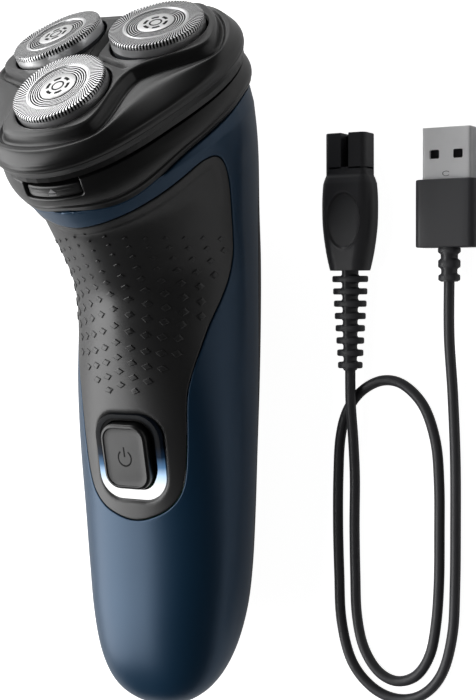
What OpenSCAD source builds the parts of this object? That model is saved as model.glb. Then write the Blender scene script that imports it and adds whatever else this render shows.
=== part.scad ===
// Electric shaver with three round heads, lying on its back, with its charging lead beside it.
// X runs to the right, Y along the handle towards the head, Z up out of the front of the handle.

/* [Handle] */
// Length of the shaver from the foot to the top of the head
overall_len = 170.8; // [166:0.2:178]
// Widest part of the grip
handle_w = 45.6; // [44.6:0.2:50]
// Depth of the handle at the power button
handle_d = 38.4; // [37.4:0.2:42]
// Wall of the two handle shells
shell_wall = 2; // [1.6:0.1:2.4]
// How far the front shell's end rises from its front to its sides
neck_rise = 3.6; // [3:0.1:4]
// How far it dips between the front and the sides
neck_dip = 1.15; // [0.8:0.05:1.3]
// Height of the seam between the two shells above the back
seam_z = 12.5; // [11:0.5:14]
// Gap that shows as a line between fixed covers
seam_gap = 0.2; // [0.1:0.05:0.3]

/* [Soft grip] */
// Thickness of the moulded-on grip
grip_t = 1.2; // [0.8:0.1:1.4]
// Gap around and under the grip
grip_gap = 0.1; // [0.05:0.05:0.2]

/* [Power button] */
// Place of the button's middle along the handle, as a share of the handle's length
button_share = 0.44; // [0.43:0.002:0.46]
// Slope of the front of the handle at the button
button_slope = 12; // [9:0.1:14]
// Width of the button
button_w = 13.4; // [11:0.2:14]
// Length of the button
button_l = 17; // [14:0.5:18]
// Corner radius of the button
button_r = 4.2; // [3:0.2:5]
// How far the button goes in
button_travel = 0.8; // [0.5:0.1:1]
// Width of the light ring around the well of the button
ring_band = 2.1; // [1.8:0.1:2.8]
// Gap between the button and the light ring
button_gap = 0.4; // [0.3:0.05:0.6]
// Depth of the light ring below the surface of the grip
ring_depth = 1.2; // [1:0.1:1.8]
// Height of the button's plane over the depth of the handle there
button_rise = 0.7; // [0.4:0.1:1]
// How far the button's face stands above its plane
button_proud = 0.9; // [0.1:0.1:1.2]
// Thickness of the light ring
ring_t = 1.5; // [1:0.1:2]

/* [Shaving unit] */
// Lean of the head forward from the axis of the handle
head_lean = 40; // [38:0.5:42]
// Height of the cap plane above the seam of the unit
head_h = 13.3; // [13:0.1:14]
// Mean radius of the unit at its seam
seam_r = 29.9; // [29.4:0.1:32]
// How far the outline leans from a circle to a rounded triangle
tri_share = 0.086; // [0.07:0.002:0.095]
// Outward bulge of the skirt above the seam
skirt_bulge = 1.7; // [1:0.1:2.2]
// Wall of the unit's cover
cover_wall = 1.5; // [1.2:0.1:1.8]
// Greatest opening angle of the unit
unit_open = 95; // [80:1:100]

/* [Shaving heads] */
// Diameter of each cap
cap_d = 22.4; // [21:0.1:22.8]
// Distance of each cap from the middle of the unit
cap_ring_r = 16.1; // [15.6:0.1:16.6]
// Outward tilt of each cap
cap_tilt = 6.5; // [5:0.5:8]
// Height of the side wall of a cap
cap_h = 3; // [2.6:0.1:3.4]
// Sheet thickness of a cap
cap_t = 0.5; // [0.3:0.05:0.6]
// Gap around a cap in the cover
cap_gap = 0.6; // [0.5:0.05:0.7]
// Greatest flexing angle of a head
flex_open = 5; // [3:0.5:5]
// Blades on each cutter
cutter_blades = 15; // [9:3:18]

/* [Drive] */
// Gear module, the pitch diameter per tooth
gear_module = 0.6; // [0.6:0.01:0.61]
// Teeth on the motor pinion, a multiple of three
pinion_teeth = 15; // [12:3:15]
// Teeth on each drive gear
gear_teeth = 36; // [34:1:36]
// Thickness of the gears
gear_t = 3; // [2.4:0.1:3.2]
// Radius of the drive spindles
spindle_r = 1.6; // [1.4:0.05:1.8]
// Radial clearance of the spindles in their plates
running_gap = 0.05; // [0.03:0.01:0.08]
// Diameter of the motor
motor_d = 20; // [18:0.5:22]
// Length of the motor
motor_l = 26; // [22:0.5:28]

/* [Release button] */
// Width of the release button
release_w = 14.4; // [12:0.2:16]
// Height of the release button
release_h = 3.6; // [3.4:0.1:4.2]
// How far the release button goes in
release_travel = 1.5; // [1:0.1:1.6]
// Gap around the release button
release_gap = 0.3; // [0.2:0.05:0.4]

/* [Battery and electronics] */
// Diameter of the battery
battery_d = 14.2; // [13.6:0.1:14.5]
// Length of the battery
battery_l = 50; // [46:0.5:50.5]
// Thickness of the circuit board
board_t = 1.2; // [0.8:0.1:1.6]

/* [Charging inlet and lead] */
// Width of the inlet opening
inlet_w = 11.4; // [11:0.1:12]
// Height of the inlet opening
inlet_h = 7.2; // [6.8:0.1:7.6]
// Depth of the inlet
inlet_depth = 11; // [10:0.1:12]
// Radius of the two inlet pins
pin_r = 0.8; // [0.6:0.05:0.9]
// Distance between the two pins
pin_pitch = 5; // [4.6:0.1:5.4]
// Diameter of the cord
cord_d = 2.6; // [2.4:0.1:2.8]

/* [Hidden] */

$fn = 48;
tiny = 0.01;
far = 200;

// Where the main pieces lie
cap_angles = [-90, 30, 150];
head_top = 12.02;
head_y = overall_len / 2 - head_top;
head_z = handle_d * 1.38;
foot_y = -overall_len / 2 + 1.26;
collar_y = head_y - 17;
handle_len = collar_y - foot_y;

// ---------------------------------------------------------------- handle form
// Each row: distance along, height of the middle, lean, bow, half width, front depth, back depth,
// front roundness, back roundness. The first is a share of the handle's length, the lean is in
// degrees, the bow is per millimetre, and the other sizes are shares of its width or depth.
handle_rows = [
    [0.000, 0.531, 22, 0.0000, 0.011, 0.013, 0.013, 2.20, 2.2],
    [0.006, 0.531, 22, 0.0000, 0.164, 0.146, 0.169, 2.20, 2.2],
    [0.024, 0.531, 20, 0.0000, 0.268, 0.234, 0.271, 2.30, 2.0],
    [0.052, 0.529, 17, 0.0000, 0.342, 0.297, 0.370, 2.40, 2.0],
    [0.095, 0.523, 12, 0.0000, 0.397, 0.352, 0.456, 2.40, 2.0],
    [0.156, 0.518, 7, 0.0000, 0.434, 0.383, 0.508, 2.40, 2.1],
    [0.234, 0.513, 3, 0.0000, 0.461, 0.393, 0.522, 2.40, 2.1],
    [0.334, 0.510, 0, 0.0000, 0.480, 0.424, 0.519, 2.40, 2.1],
    [0.448, 0.513, 0, 0.0000, 0.496, 0.484, 0.522, 2.30, 2.1],
    [0.562, 0.516, 2, 0.0000, 0.500, 0.557, 0.525, 2.10, 2.3],
    [0.676, 0.521, 8, 0.0010, 0.500, 0.620, 0.533, 1.80, 2.5],
    [0.761, 0.573, 14, 0.0030, 0.515, 0.612, 0.589, 1.70, 2.5],
    [0.839, 0.664, 20, 0.0045, 0.544, 0.651, 0.638, 1.75, 2.5],
    [0.918, 0.794, 26, 0.0055, 0.601, 0.690, 0.708, 1.75, 2.4],
    [0.960, 0.880, 29.4, 0.0059, 0.640, 0.740, 0.732, 1.75, 2.3],
    [1.000, 0.964, 31.4, 0.0063, 0.671, 0.781, 0.745, 1.75, 2.2]];
last_row = len(handle_rows) - 1;

function blend(a, b, c, d, t) = 0.5 * (2 * b + (c - a) * t + (2 * a - 5 * b + 4 * c - d) * t * t
    + (3 * b - a - 3 * c + d) * t * t * t);
function row_at(s) = let(i = min(floor(s), last_row - 1), t = s - i)
    blend(handle_rows[max(i - 1, 0)], handle_rows[i], handle_rows[i + 1],
        handle_rows[min(i + 2, last_row)], t);
function power(c, e) = sign(c) * pow(abs(c), e);

// A point of the handle: s counts rows, t is the angle with the front at 90, inset goes inwards
function handle_point(s, t, inset) = let(r = row_at(s), front = sin(t) > 0,
    e = 2 / (front ? r[7] : r[8]), half_w = max(r[4] * handle_w - inset, 0.1),
    depth = max((front ? r[5] : r[6]) * handle_d - inset, 0.1), v = depth * power(sin(t), e))
    [half_w * power(cos(t), e), foot_y + r[0] * handle_len - v * sin(r[2]) - r[3] * v * v,
        r[1] * handle_d + v * cos(r[2])];
function handle_ring(s, inset, n) = [for (i = [0:n - 1]) handle_point(s, 360 * i / n, inset)];
function shifted(ring, d) = [for (p = ring) p + d];
// The shell's end at the collar waves round the neck: how far it moves along the handle
function neck_shift(t) = let(f = abs((t + 450) % 360 - 180))
    neck_rise * (1 - cos(min(f, 100))) - (f < 60 ? neck_dip * (1 - cos(6 * f)) : 0);
function neck_ring(inset, n) = let(ring = handle_ring(last_row, inset, n))
    [for (i = [0:n - 1]) ring[i] + neck_shift(360 * i / n) * [0, cos(head_lean * 0.75), sin(head_lean * 0.75)]];
function middle(ring) = [for (k = [0:2]) (min([for (p = ring) p[k]]) + max([for (p = ring) p[k]])) / 2];

// A closed skin over rings of points, each end closed by a fan from its middle
module loft(rings) {
    n = len(rings[0]);
    m = len(rings);
    points = concat([for (r = rings) each r], [middle(rings[0])], [middle(rings[m - 1])]);
    first = m * n;
    sides = [for (j = [0:m - 2], i = [0:n - 1]) let(a = j * n + i, b = j * n + (i + 1) % n)
        each [[a, b, b + n], [a, b + n, a + n]]];
    starts = [for (i = [0:n - 1]) [first, (i + 1) % n, i]];
    ends = [for (i = [0:n - 1]) [first + 1, (m - 1) * n + i, (m - 1) * n + (i + 1) % n]];
    polyhedron(points = points, faces = concat(sides, starts, ends), convexity = 8);
}

// A thick patch of the handle's skin between two rows, half_angle(s) wide to each side
module skin_patch(rows, angles, outer, inner, columns, from, lift) {
    k = 2 * columns;
    n = len(rows);
    function t_at(j, i) = 90 + angles[j] * (i - columns) / columns;
    function s_at(j, i) = rows[j] + lift * pow((t_at(j, i) - 90) / 65, 2)
        * max(0, (rows[j] - from) / (rows[n - 1] - from));
    points = concat([for (j = [0:n - 1], i = [0:k]) handle_point(s_at(j, i), t_at(j, i), outer)],
        [for (j = [0:n - 1], i = [0:k]) handle_point(s_at(j, i), t_at(j, i), inner)]);
    w = k + 1;
    b = n * w;
    tops = [for (j = [0:n - 2], i = [0:k - 1]) let(p = j * w + i)
        each [[p, p + 1, p + w + 1], [p, p + w + 1, p + w]]];
    bottoms = [for (j = [0:n - 2], i = [0:k - 1]) let(p = b + j * w + i)
        each [[p, p + w + 1, p + 1], [p, p + w, p + w + 1]]];
    foot_edge = [for (i = [0:k - 1]) each [[i, b + i, b + i + 1], [i, b + i + 1, i + 1]]];
    head_edge = [for (i = [0:k - 1]) let(p = (n - 1) * w + i)
        each [[p, b + p + 1, b + p], [p, p + 1, b + p + 1]]];
    right_edge = [for (j = [0:n - 2]) let(p = j * w) each [[p, b + p + w, b + p], [p, p + w, b + p + w]]];
    left_edge = [for (j = [0:n - 2]) let(p = j * w + k)
        each [[p, b + p, b + p + w], [p, b + p + w, p + w]]];
    polyhedron(points = points, convexity = 8,
        faces = concat(tops, bottoms, foot_edge, head_edge, right_edge, left_edge));
}

// ---------------------------------------------------------------- frames of the sub-assemblies
module in_head() {
    translate([0, head_y, head_z]) rotate([head_lean - 90, 0, 0]) children();
}
function head_point(x, v, w) = [x, head_y + v * sin(head_lean) + w * cos(head_lean),
    head_z - v * cos(head_lean) + w * sin(head_lean)];
module at_cap(i) {
    in_head() rotate([0, 0, cap_angles[i]]) translate([cap_ring_r, 0, 0]) rotate([0, cap_tilt, 0])
        children();
}
drive_r = gear_module * (pinion_teeth + gear_teeth) / 2;
module at_spindle(i) {
    in_head() rotate([0, 0, cap_angles[i]]) translate([drive_r, 0, 0]) children();
}
button_y = foot_y + button_share * handle_len;
button_z = handle_d + button_rise;
module in_button() {
    translate([0, button_y, button_z]) rotate([button_slope, 0, 0]) children();
}

// ---------------------------------------------------------------- small shared shapes
module slab(x, y, z) {
    translate([-x / 2, -y / 2, 0]) cube([x, y, z]);
}
module rounded(w, l, r) {
    union() {
        square([w - 2 * r, l], center = true);
        square([w, l - 2 * r], center = true);
        for (sx = [-1, 1], sy = [-1, 1]) translate([sx * (w / 2 - r), sy * (l / 2 - r)]) circle(r);
    }
}
module tube(outer, inner, h) {
    difference() {
        cylinder(r = outer, h = h);
        translate([0, 0, -1]) cylinder(r = inner, h = h + 2);
    }
}
// A tube of small sides along points that lie in planes through their neighbours
module sweep(path, r, sides) {
    m = len(path);
    function along(i) = let(d = path[min(i + 1, m - 1)] - path[max(i - 1, 0)]) d / norm(d);
    function side(i) = let(d = along(i), s = abs(d[2]) > 0.9 ? cross(d, [1, 0, 0]) : cross(d, [0, 0, 1]))
        s / norm(s);
    points = concat([for (i = [0:m - 1]) let(d = along(i), a = side(i), b = cross(a, d))
        each [for (k = [0:sides - 1]) path[i] + r * (a * cos(360 * k / sides) + b * sin(360 * k / sides))]]);
    walls = [for (i = [0:m - 2], k = [0:sides - 1]) let(a = i * sides + k, b = i * sides + (k + 1) % sides)
        each [[a, b, b + sides], [a, b + sides, a + sides]]];
    polyhedron(points = points, convexity = 10, faces = concat(walls, [[for (k = [sides - 1:-1:0]) k]],
        [[for (k = [0:sides - 1]) (m - 1) * sides + k]]));
}
// A coil spring standing on z = 0
module coil(mean_r, wire_r, length, turns) {
    steps = 12 * turns;
    sweep([for (i = [0:steps]) [mean_r * cos(30 * i), mean_r * sin(30 * i),
        wire_r + (length - 2 * wire_r) * i / steps]], wire_r, 6);
}

// ---------------------------------------------------------------- handle shells
sub_rows = 2;
ring_n = 36;
inner_n = 24;
module handle_form(inset, top) {
    start = inset > 0 ? 1 + inset / 6 : 0;
    rows = [for (i = [0:sub_rows * last_row]) if (i / sub_rows > start) i / sub_rows];
    n = inset > 0 ? inner_n : ring_n;
    rings = concat([handle_ring(start, inset, n)],
        [for (s = rows) if (s < last_row) handle_ring(s, inset, n)], [neck_ring(inset, n)]);
    loft(top == 0 ? rings : concat(rings, [shifted(neck_ring(inset, n), [0, top, 0])]));
}
// Everything below the seam between the shells
module below_seam(raise) {
    translate([-far / 2, 0, 0]) rotate([90, 0, 90]) linear_extrude(far)
        polygon([[foot_y - 9, -9], [far, -9], [far, seam_z + 9 + raise], [collar_y, seam_z + 8 + raise],
            [collar_y - 12, seam_z + 5 + raise], [collar_y - 25, seam_z + 2 + raise],
            [collar_y - 45, seam_z + raise], [foot_y - 9, seam_z + raise]]);
}
module table_cut() {
    translate([-far / 2, -far / 2, -far]) cube([far, far, far]);
}
module well_outline(grow) {
    rounded(button_w + 2 * (button_gap + ring_band + grow), button_l + 2 * (button_gap + ring_band + grow),
        button_r + button_gap + ring_band * 0.8 + grow);
}
inlet_z = handle_d * 0.53;
inlet_y = foot_y + 2.4;
inlet_wall = 1.3;
module inlet_block(grow, l) {
    translate([0, inlet_y - (grow > 0 ? 9 : 0), inlet_z]) rotate([-90, 0, 0])
        linear_extrude(l + (grow > 0 ? 9 : 0))
            rounded(inlet_w + 2 * (inlet_wall + grow), inlet_h + 2 * (inlet_wall + grow), 2 + grow);
}
// Moulded ribs across the inside of a shell, clear of what the shell holds
rib_h = 1;
rib_t = 1.2;
module ribs(low, high) {
    for (i = [0:8]) {
        s = 2.6 + i * 0.75;
        for (a = [low, high]) hull() {
            translate(handle_point(s, a, shell_wall - 0.3)) sphere(rib_t / 2, $fn = 8);
            translate(handle_point(s, a, shell_wall + rib_h - rib_t / 2)) sphere(rib_t / 2, $fn = 8);
            translate(handle_point(s, a + 9, shell_wall - 0.3)) sphere(rib_t / 2, $fn = 8);
        }
    }
}
grip_rows = [6.95, 7.02, 7.1, 7.25, 7.44, 7.7, 7.96, 8.3, 8.66, 8.96, 9.3, 9.64, 10.05, 10.46, 10.94,
    11.45, 11.95, 12.45, 12.96, 13.4, 13.7, 13.9];
grip_angles = [3, 10, 18, 26, 32, 35, 36.5, 38, 39.5, 41, 46, 52, 58, 65, 72, 77, 78, 77, 75, 73, 69, 61];
grip_lift = 0.73;
module grip_form(outer, inner, grow) {
    last = len(grip_rows) - 1;
    skin_patch([for (i = [0:last]) grip_rows[i] + (i == 0 ? -grow * 0.1 : i == last ? grow * 0.1 : 0)],
        [for (a = grip_angles) a + grow * 2.5], outer, inner, 12, 12, grip_lift);
}
module front_shell() color([0.12, 0.25, 0.36]) difference() {
    union() {
        difference() {
            handle_form(0, 0);
            handle_form(shell_wall, 12);
        }
        ribs(28, 140);
    }
    below_seam(seam_gap / 2);
    grip_form(-2, grip_t + grip_gap, grip_gap);
    in_button() translate([0, 0, -9]) linear_extrude(20) well_outline(0.2);
    inlet_block(0.1, 30);
}
module back_cover() color([0.14, 0.14, 0.15]) difference() {
    intersection() {
        union() {
            difference() {
                handle_form(0, 0);
                handle_form(shell_wall, 12);
            }
            ribs(222, 305);
        }
        below_seam(-seam_gap / 2);
    }
    inlet_block(0.1, 30);
    table_cut();
}
module front_grip() color([0.13, 0.13, 0.14]) difference() {
    union() {
        grip_form(0, grip_t, 0);
        for (i = [0:8]) hull() {
            translate(handle_point(8.9 + i * 0.5, 90, 0.65)) sphere(0.45, $fn = 8);
            translate(handle_point(9.0 + i * 0.5, 94, 0.65)) sphere(0.45, $fn = 8);
        }
    }
    in_button() translate([0, 0, -9]) linear_extrude(20) well_outline(0.05);
}

// ---------------------------------------------------------------- power button
ring_top = -ring_depth;
flange_t = 1.2;
flange_top = ring_top - ring_t - 0.3;
module light_ring() color([0.85, 0.92, 1]) in_button() translate([0, 0, ring_top - ring_t])
    linear_extrude(ring_t) difference() {
        well_outline(0);
        rounded(button_w + 2 * button_gap, button_l + 2 * button_gap, button_r + button_gap);
    }
switch_w = 6;
switch_h = 2.8;
plunger_h = 0.5;
board_z = handle_d * 0.575;
board_top = board_z + board_t;
stem_end = (board_top + switch_h + plunger_h + button_travel + 0.45 - button_z) / cos(button_slope);
switch_y = button_y - (board_top + switch_h - button_z) * tan(button_slope);
module power_button() color([0.2, 0.2, 0.21]) in_button() {
    translate([0, 0, flange_top]) linear_extrude(button_proud - flange_top)
        rounded(button_w, button_l, button_r);
    translate([0, 0, flange_top - flange_t]) linear_extrude(flange_t)
        rounded(button_w + 2 * button_gap + 1.6, button_l + 2 * button_gap + 1.6, button_r + 1);
    translate([0, 0, stem_end]) cylinder(r = 2, h = flange_top - flange_t - stem_end + tiny);
}
module tact_switch() color([0.3, 0.3, 0.3]) translate([0, switch_y, board_top]) {
    slab(switch_w, switch_w, switch_h);
    cylinder(r = 1.5, h = switch_h + plunger_h);
}

// ---------------------------------------------------------------- inner frame, battery, inlet
battery_z = shell_wall + 1.3 + battery_d / 2;
battery_y = foot_y + 32.5;
frame_w = 27;
frame_y0 = foot_y + 23;
frame_y1 = battery_y + battery_l + 8.5;
frame_t = 1.6;
frame_z = battery_z + battery_d / 2 + 0.3;
post_r = 2.4;
post_ys = [battery_y - 1.2 - post_r, battery_y + battery_l + 1.2 + post_r];
shelf_t = 1.5;
shelf_top = inlet_z - inlet_h / 2 - inlet_wall;
// Height of the shell's inner floor at a place along the handle
function inner_floor(y) = lookup(y, [for (i = [2:2 * last_row]) let(p = handle_point(i / 2, 270, shell_wall))
    [p[1], max(p[2], shell_wall)]]);
post_foot = [for (y = post_ys) inner_floor(y - post_r) + 0.1];
standoff_ys = [frame_y0 + 4, frame_y1 - 4];
module inner_frame() color([0.3, 0.3, 0.32]) {
    translate([0, (frame_y0 + frame_y1) / 2, frame_z]) slab(frame_w, frame_y1 - frame_y0, frame_t);
    for (s = [-1, 1]) translate([s * (battery_d / 2 + 1), battery_y + battery_l / 2, battery_z - 1])
        slab(1.2, battery_l - 2, frame_z - battery_z + 1);
    for (i = [0, 1]) translate([0, post_ys[i], post_foot[i]]) cylinder(r = post_r, h = frame_z - post_foot[i]);
    translate([0, (inlet_y + 3 + post_ys[0]) / 2, shelf_top - shelf_t])
        slab(9, post_ys[0] - inlet_y - 3, shelf_t);
    for (y = standoff_ys, s = [-1, 1]) translate([s * 9, y, frame_z + frame_t - tiny])
        cylinder(r = 1.5, h = board_z - frame_z - frame_t + tiny);
}
module circuit_board() color([0.1, 0.35, 0.2]) translate([0, (frame_y0 + frame_y1) / 2, board_z])
    slab(frame_w - 3, frame_y1 - frame_y0, board_t);
light_h = 1.4;
module ring_lights() color([0.95, 0.97, 1]) for (s = [-1, 1], y = [-6, 6])
    translate([s * (button_w / 2 + 1.5), button_y + y, board_top]) slab(2, 3, light_h);
module battery() color([0.35, 0.5, 0.65]) translate([0, battery_y, battery_z]) rotate([-90, 0, 0]) {
    cylinder(d = battery_d, h = battery_l - 1.2);
    translate([0, 0, battery_l - 1.2 - tiny]) cylinder(d = battery_d * 0.35, h = 1.2 + tiny);
}
tab_t = 0.4;
module battery_tabs() color([0.8, 0.8, 0.78]) for (y = [battery_y - tab_t, battery_y + battery_l])
    translate([-3, y, battery_z - 3]) cube([6, tab_t, frame_z - battery_z + 3]);
pin_l = 6.5;
pin_step = 0.3;
module inlet_socket() color([0.1, 0.1, 0.1]) difference() {
    inlet_block(0, inlet_depth + 1.5);
    translate([0, inlet_y - 1, inlet_z]) rotate([-90, 0, 0]) linear_extrude(inlet_depth + 1)
        rounded(inlet_w, inlet_h, 1.4);
    for (s = [-1, 1]) translate([s * pin_pitch / 2, inlet_y + inlet_depth - tiny, inlet_z]) rotate([-90, 0, 0])
        cylinder(r = pin_r + pin_step, h = inlet_depth + 9);
}
module inlet_pins() color([0.85, 0.75, 0.4]) for (s = [-1, 1])
    translate([s * pin_pitch / 2, inlet_y + inlet_depth - pin_l, inlet_z]) rotate([-90, 0, 0])
        union() {
            cylinder(r = pin_r, h = pin_l + tiny);
            translate([0, 0, pin_l]) cylinder(r = pin_r + pin_step - tiny, h = 3);
        }

// ---------------------------------------------------------------- collar
collar_wall = 2.2;
unit_v = -1;
function tri_r(r, t) = r * (1 + tri_share * cos(3 * (t - 90)));
function tri_point(r, t, w) = head_point(tri_r(r, t) * cos(t), unit_v - tri_r(r, t) * sin(t), w);
function tri_ring(r, w, n) = [for (i = [0:n - 1]) tri_point(r, 360 * i / n, w)];
function collar_ring(k, inset, n) = let(a = shifted(neck_ring(inset, n), [0, seam_gap, 0]),
    b = tri_ring(seam_r - inset, -head_h, n), bulge = 1 + 0.045 * sin(180 * min(max(k, 0), 1)),
    c = middle(a) * (1 - k) + middle(b) * k)
    [for (i = [0:n - 1]) let(p = a[i] * (1 - k) + b[i] * k) c + (p - c) * bulge];
module collar_form(inset, first, last) {
    loft([for (i = [0:8]) collar_ring(first + (last - first) * i / 8, inset, ring_n)]);
}
release_v = -33.6;
release_depth = 3.2;
release_w0 = -head_h - 0.8 - release_h;
hinge_v = seam_r * (1 - tri_share) + unit_v;
hinge_w = -head_h;
hinge_r = 2;
pin_radius = 1;
lug_in = 6;
lug_out = 9.2;
module hinge_bar(half, r) {
    in_head() translate([-half, hinge_v, hinge_w]) rotate([0, 90, 0]) cylinder(r = r, h = 2 * half);
}
rib_places = [5, 6, 12, 13, 17, 18, 19, 35, 0, 1];
module collar() color([0.2, 0.2, 0.21]) difference() {
    union() {
        difference() {
            collar_form(0, 0, 0.99);
            collar_form(collar_wall, -0.25, 1.25);
        }
        for (i = rib_places) hull() {
            translate(collar_ring(0.5, collar_wall + 0.9, ring_n)[i]) sphere(0.5, $fn = 8);
            translate(collar_ring(0.5, collar_wall - 0.6, ring_n)[i]) sphere(0.5, $fn = 8);
            translate(collar_ring(0.85, collar_wall - 0.6, ring_n)[i]) sphere(0.5, $fn = 8);
        }
    }
    in_head() translate([0, release_v, release_w0 - release_gap])
        slab(release_w + 2 * release_gap + 0.6, 20, release_h + 2 * release_gap);
    hinge_bar(lug_out + 0.2, hinge_r + 0.3);
    in_head() translate([0, hinge_v - 1.3, hinge_w - 7.2]) slab(2 * lug_out + 0.4, 6, 7.4);
}

// ---------------------------------------------------------------- release button
guide_r = 0.45;
spring_wire = 0.18;
module release_button() color([0.17, 0.17, 0.18]) in_head() difference() {
    union() {
        intersection() {
            translate([0, release_v + release_depth / 2, release_w0]) slab(release_w, release_depth, release_h);
            translate([0, release_v + 19.5, release_w0 - 1]) cylinder(r = 19.5, h = release_h + 2);
        }
        translate([0, release_v + release_depth - tiny, release_w0 + release_h / 2]) rotate([-90, 0, 0])
            cylinder(r = guide_r, h = 3.4);
    }
}
floor_top = -17.1;
floor_t = 1.5;
stop_v = -24.6;
module release_spring() color([0.7, 0.7, 0.72]) in_head()
    translate([0, stop_v - 0.1, release_w0 + release_h / 2]) rotate([90, 0, 0])
        coil(guide_r + 0.17 + spring_wire, spring_wire, -release_v - release_depth + stop_v - release_travel - 0.5, 5);

// ---------------------------------------------------------------- drive
function involute(base, a) = base * [cos(a) + a * PI / 180 * sin(a), sin(a) - a * PI / 180 * cos(a)];
// Gear outline with a tooth at angle 0; the flanks are involutes with a pressure angle of 20 degrees
backlash = 0.12;
module gear_outline(teeth) {
    pitch_r = gear_module * teeth / 2;
    base_r = pitch_r * cos(20);
    tip_r = pitch_r + 0.95 * gear_module;
    root_r = pitch_r - 1.2 * gear_module;
    roll = function(r) sqrt(max(pow(r / base_r, 2) - 1, 0)) * 180 / PI;
    half = 90 / teeth - backlash / 2 / pitch_r * 180 / PI + (tan(20) * 180 / PI - 20);
    flank_r = [max(root_r, base_r), (max(root_r, base_r) + pitch_r) / 2, pitch_r,
        (pitch_r + tip_r) / 2, tip_r];
    lead = [for (r = flank_r) let(p = involute(base_r, roll(r))) [norm(p), half - atan2(p[1], p[0])]];
    tooth = concat([[root_r, half]], [for (p = lead) [p[0], p[1]]]);
    points = [for (k = [0:teeth - 1]) each concat(
        [for (p = tooth) [p[0], 360 * k / teeth - p[1]]],
        [for (i = [len(tooth) - 1:-1:0]) [tooth[i][0], 360 * k / teeth + tooth[i][1]]])];
    polygon([for (p = points) [p[0] * cos(p[1]), p[0] * sin(p[1])]]);
}
gear_top = floor_top - floor_t - 0.5;
gear_w0 = gear_top - gear_t;
plate_t = 1.5;
plate_top = gear_w0 - 0.5;
gear_reach = gear_module * (gear_teeth / 2 + 1);
plate_lobe = gear_reach + 1;
bracket_t = 3.2;
plate_mid = hinge_v - 0.4 - bracket_t / 2 - 0.3;
module plate_outline() {
    circle(plate_mid);
    for (a = cap_angles) rotate(a) translate([drive_r, 0]) circle(plate_lobe - 0.2);
}
brace_r = 20.5;
brace_angles = [-30, 90, 210];
screw_r = 0.9;
module at_braces() {
    for (a = brace_angles) rotate([0, 0, a]) translate([brace_r, 0, 0]) children();
}
module chamber_floor() color([0.22, 0.22, 0.23]) in_head() difference() {
    union() {
        translate([0, 0, floor_top - floor_t]) linear_extrude(floor_t) plate_outline();
        for (a = cap_angles) rotate([0, 0, a]) translate([drive_r, 0, floor_top - tiny])
            cylinder(r = spindle_r + 1.6, h = 1.5);
        translate([0, stop_v + 0.8, floor_top - tiny]) slab(5, 1.6, -floor_top + release_w0 + release_h);
        translate([0, 0, gear_top + 0.5 - tiny]) cylinder(r = 3, h = tiny);
    }
    for (a = cap_angles) rotate([0, 0, a]) translate([drive_r, 0, floor_top - floor_t - 1])
        cylinder(r = spindle_r + running_gap, h = 9);
}
module gear_plate() color([0.5, 0.5, 0.52]) in_head() difference() {
    union() {
        translate([0, 0, plate_top - plate_t]) linear_extrude(plate_t) plate_outline();
        at_braces() translate([0, 0, plate_top - tiny]) cylinder(r = 2.2, h = floor_top - floor_t - plate_top + tiny);
    }
    for (a = cap_angles) rotate([0, 0, a]) translate([drive_r, 0, plate_top - plate_t - 1])
        cylinder(r = spindle_r + running_gap, h = 9);
    translate([0, 0, plate_top - plate_t - 1]) cylinder(r = motor_d * 0.16 + 0.2, h = 9);
    at_braces() translate([0, 0, plate_top - plate_t - 1]) cylinder(r = screw_r + 0.1, h = 6);
}
module gear_plate_screws() color([0.7, 0.7, 0.72]) in_head() at_braces() {
    translate([0, 0, plate_top - plate_t - 1.2]) cylinder(r = 1.8, h = 1.2);
    translate([0, 0, plate_top - plate_t - tiny]) cylinder(r = screw_r, h = 4.5);
}
module motor_can() color([0.65, 0.66, 0.68]) in_head() difference() {
    union() {
        translate([0, 0, plate_top - plate_t - 0.05 - motor_l]) cylinder(d = motor_d, h = motor_l);
        translate([0, 0, plate_top - plate_t - 0.05 - tiny]) cylinder(r = motor_d * 0.16, h = plate_t);
    }
    translate([0, 0, plate_top - plate_t - motor_l + 1]) cylinder(r = motor_d / 2 - 1, h = motor_l - 2);
    translate([0, 0, plate_top - motor_l]) cylinder(r = 1 + running_gap, h = motor_l + 9);
}
module motor_shaft() color([0.75, 0.75, 0.77]) in_head() {
    translate([0, 0, plate_top - plate_t - motor_l + 2]) cylinder(r = 1, h = gear_top - plate_top + plate_t + motor_l - 2);
    translate([0, 0, plate_top - plate_t - motor_l + 4]) cylinder(r = motor_d / 2 - 2, h = motor_l - 8);
}
module motor_pinion() color([0.85, 0.7, 0.35]) in_head() translate([0, 0, gear_w0])
    linear_extrude(gear_t) difference() {
        rotate(cap_angles[0]) gear_outline(pinion_teeth);
        circle(1);
    }
module drive_gear(i) color([0.9, 0.9, 0.86]) at_spindle(i) translate([0, 0, gear_w0])
    linear_extrude(gear_t) difference() {
        rotate(180 + 180 / gear_teeth) gear_outline(gear_teeth);
        circle(spindle_r);
    }
tip_top = -4.4;
tip_r = 1.3;
module drive_spindle(i) color([0.8, 0.8, 0.76]) at_spindle(i) {
    translate([0, 0, plate_top - plate_t - 0.4]) cylinder(r = spindle_r, h = tip_top - 4.2 - plate_top + plate_t + 0.4);
    translate([0, 0, tip_top - 4.2 - tiny]) rotate([0, 0, -cap_angles[i]]) cylinder(r = tip_r, h = 4.2 + tiny, $fn = 6);
}

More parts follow.
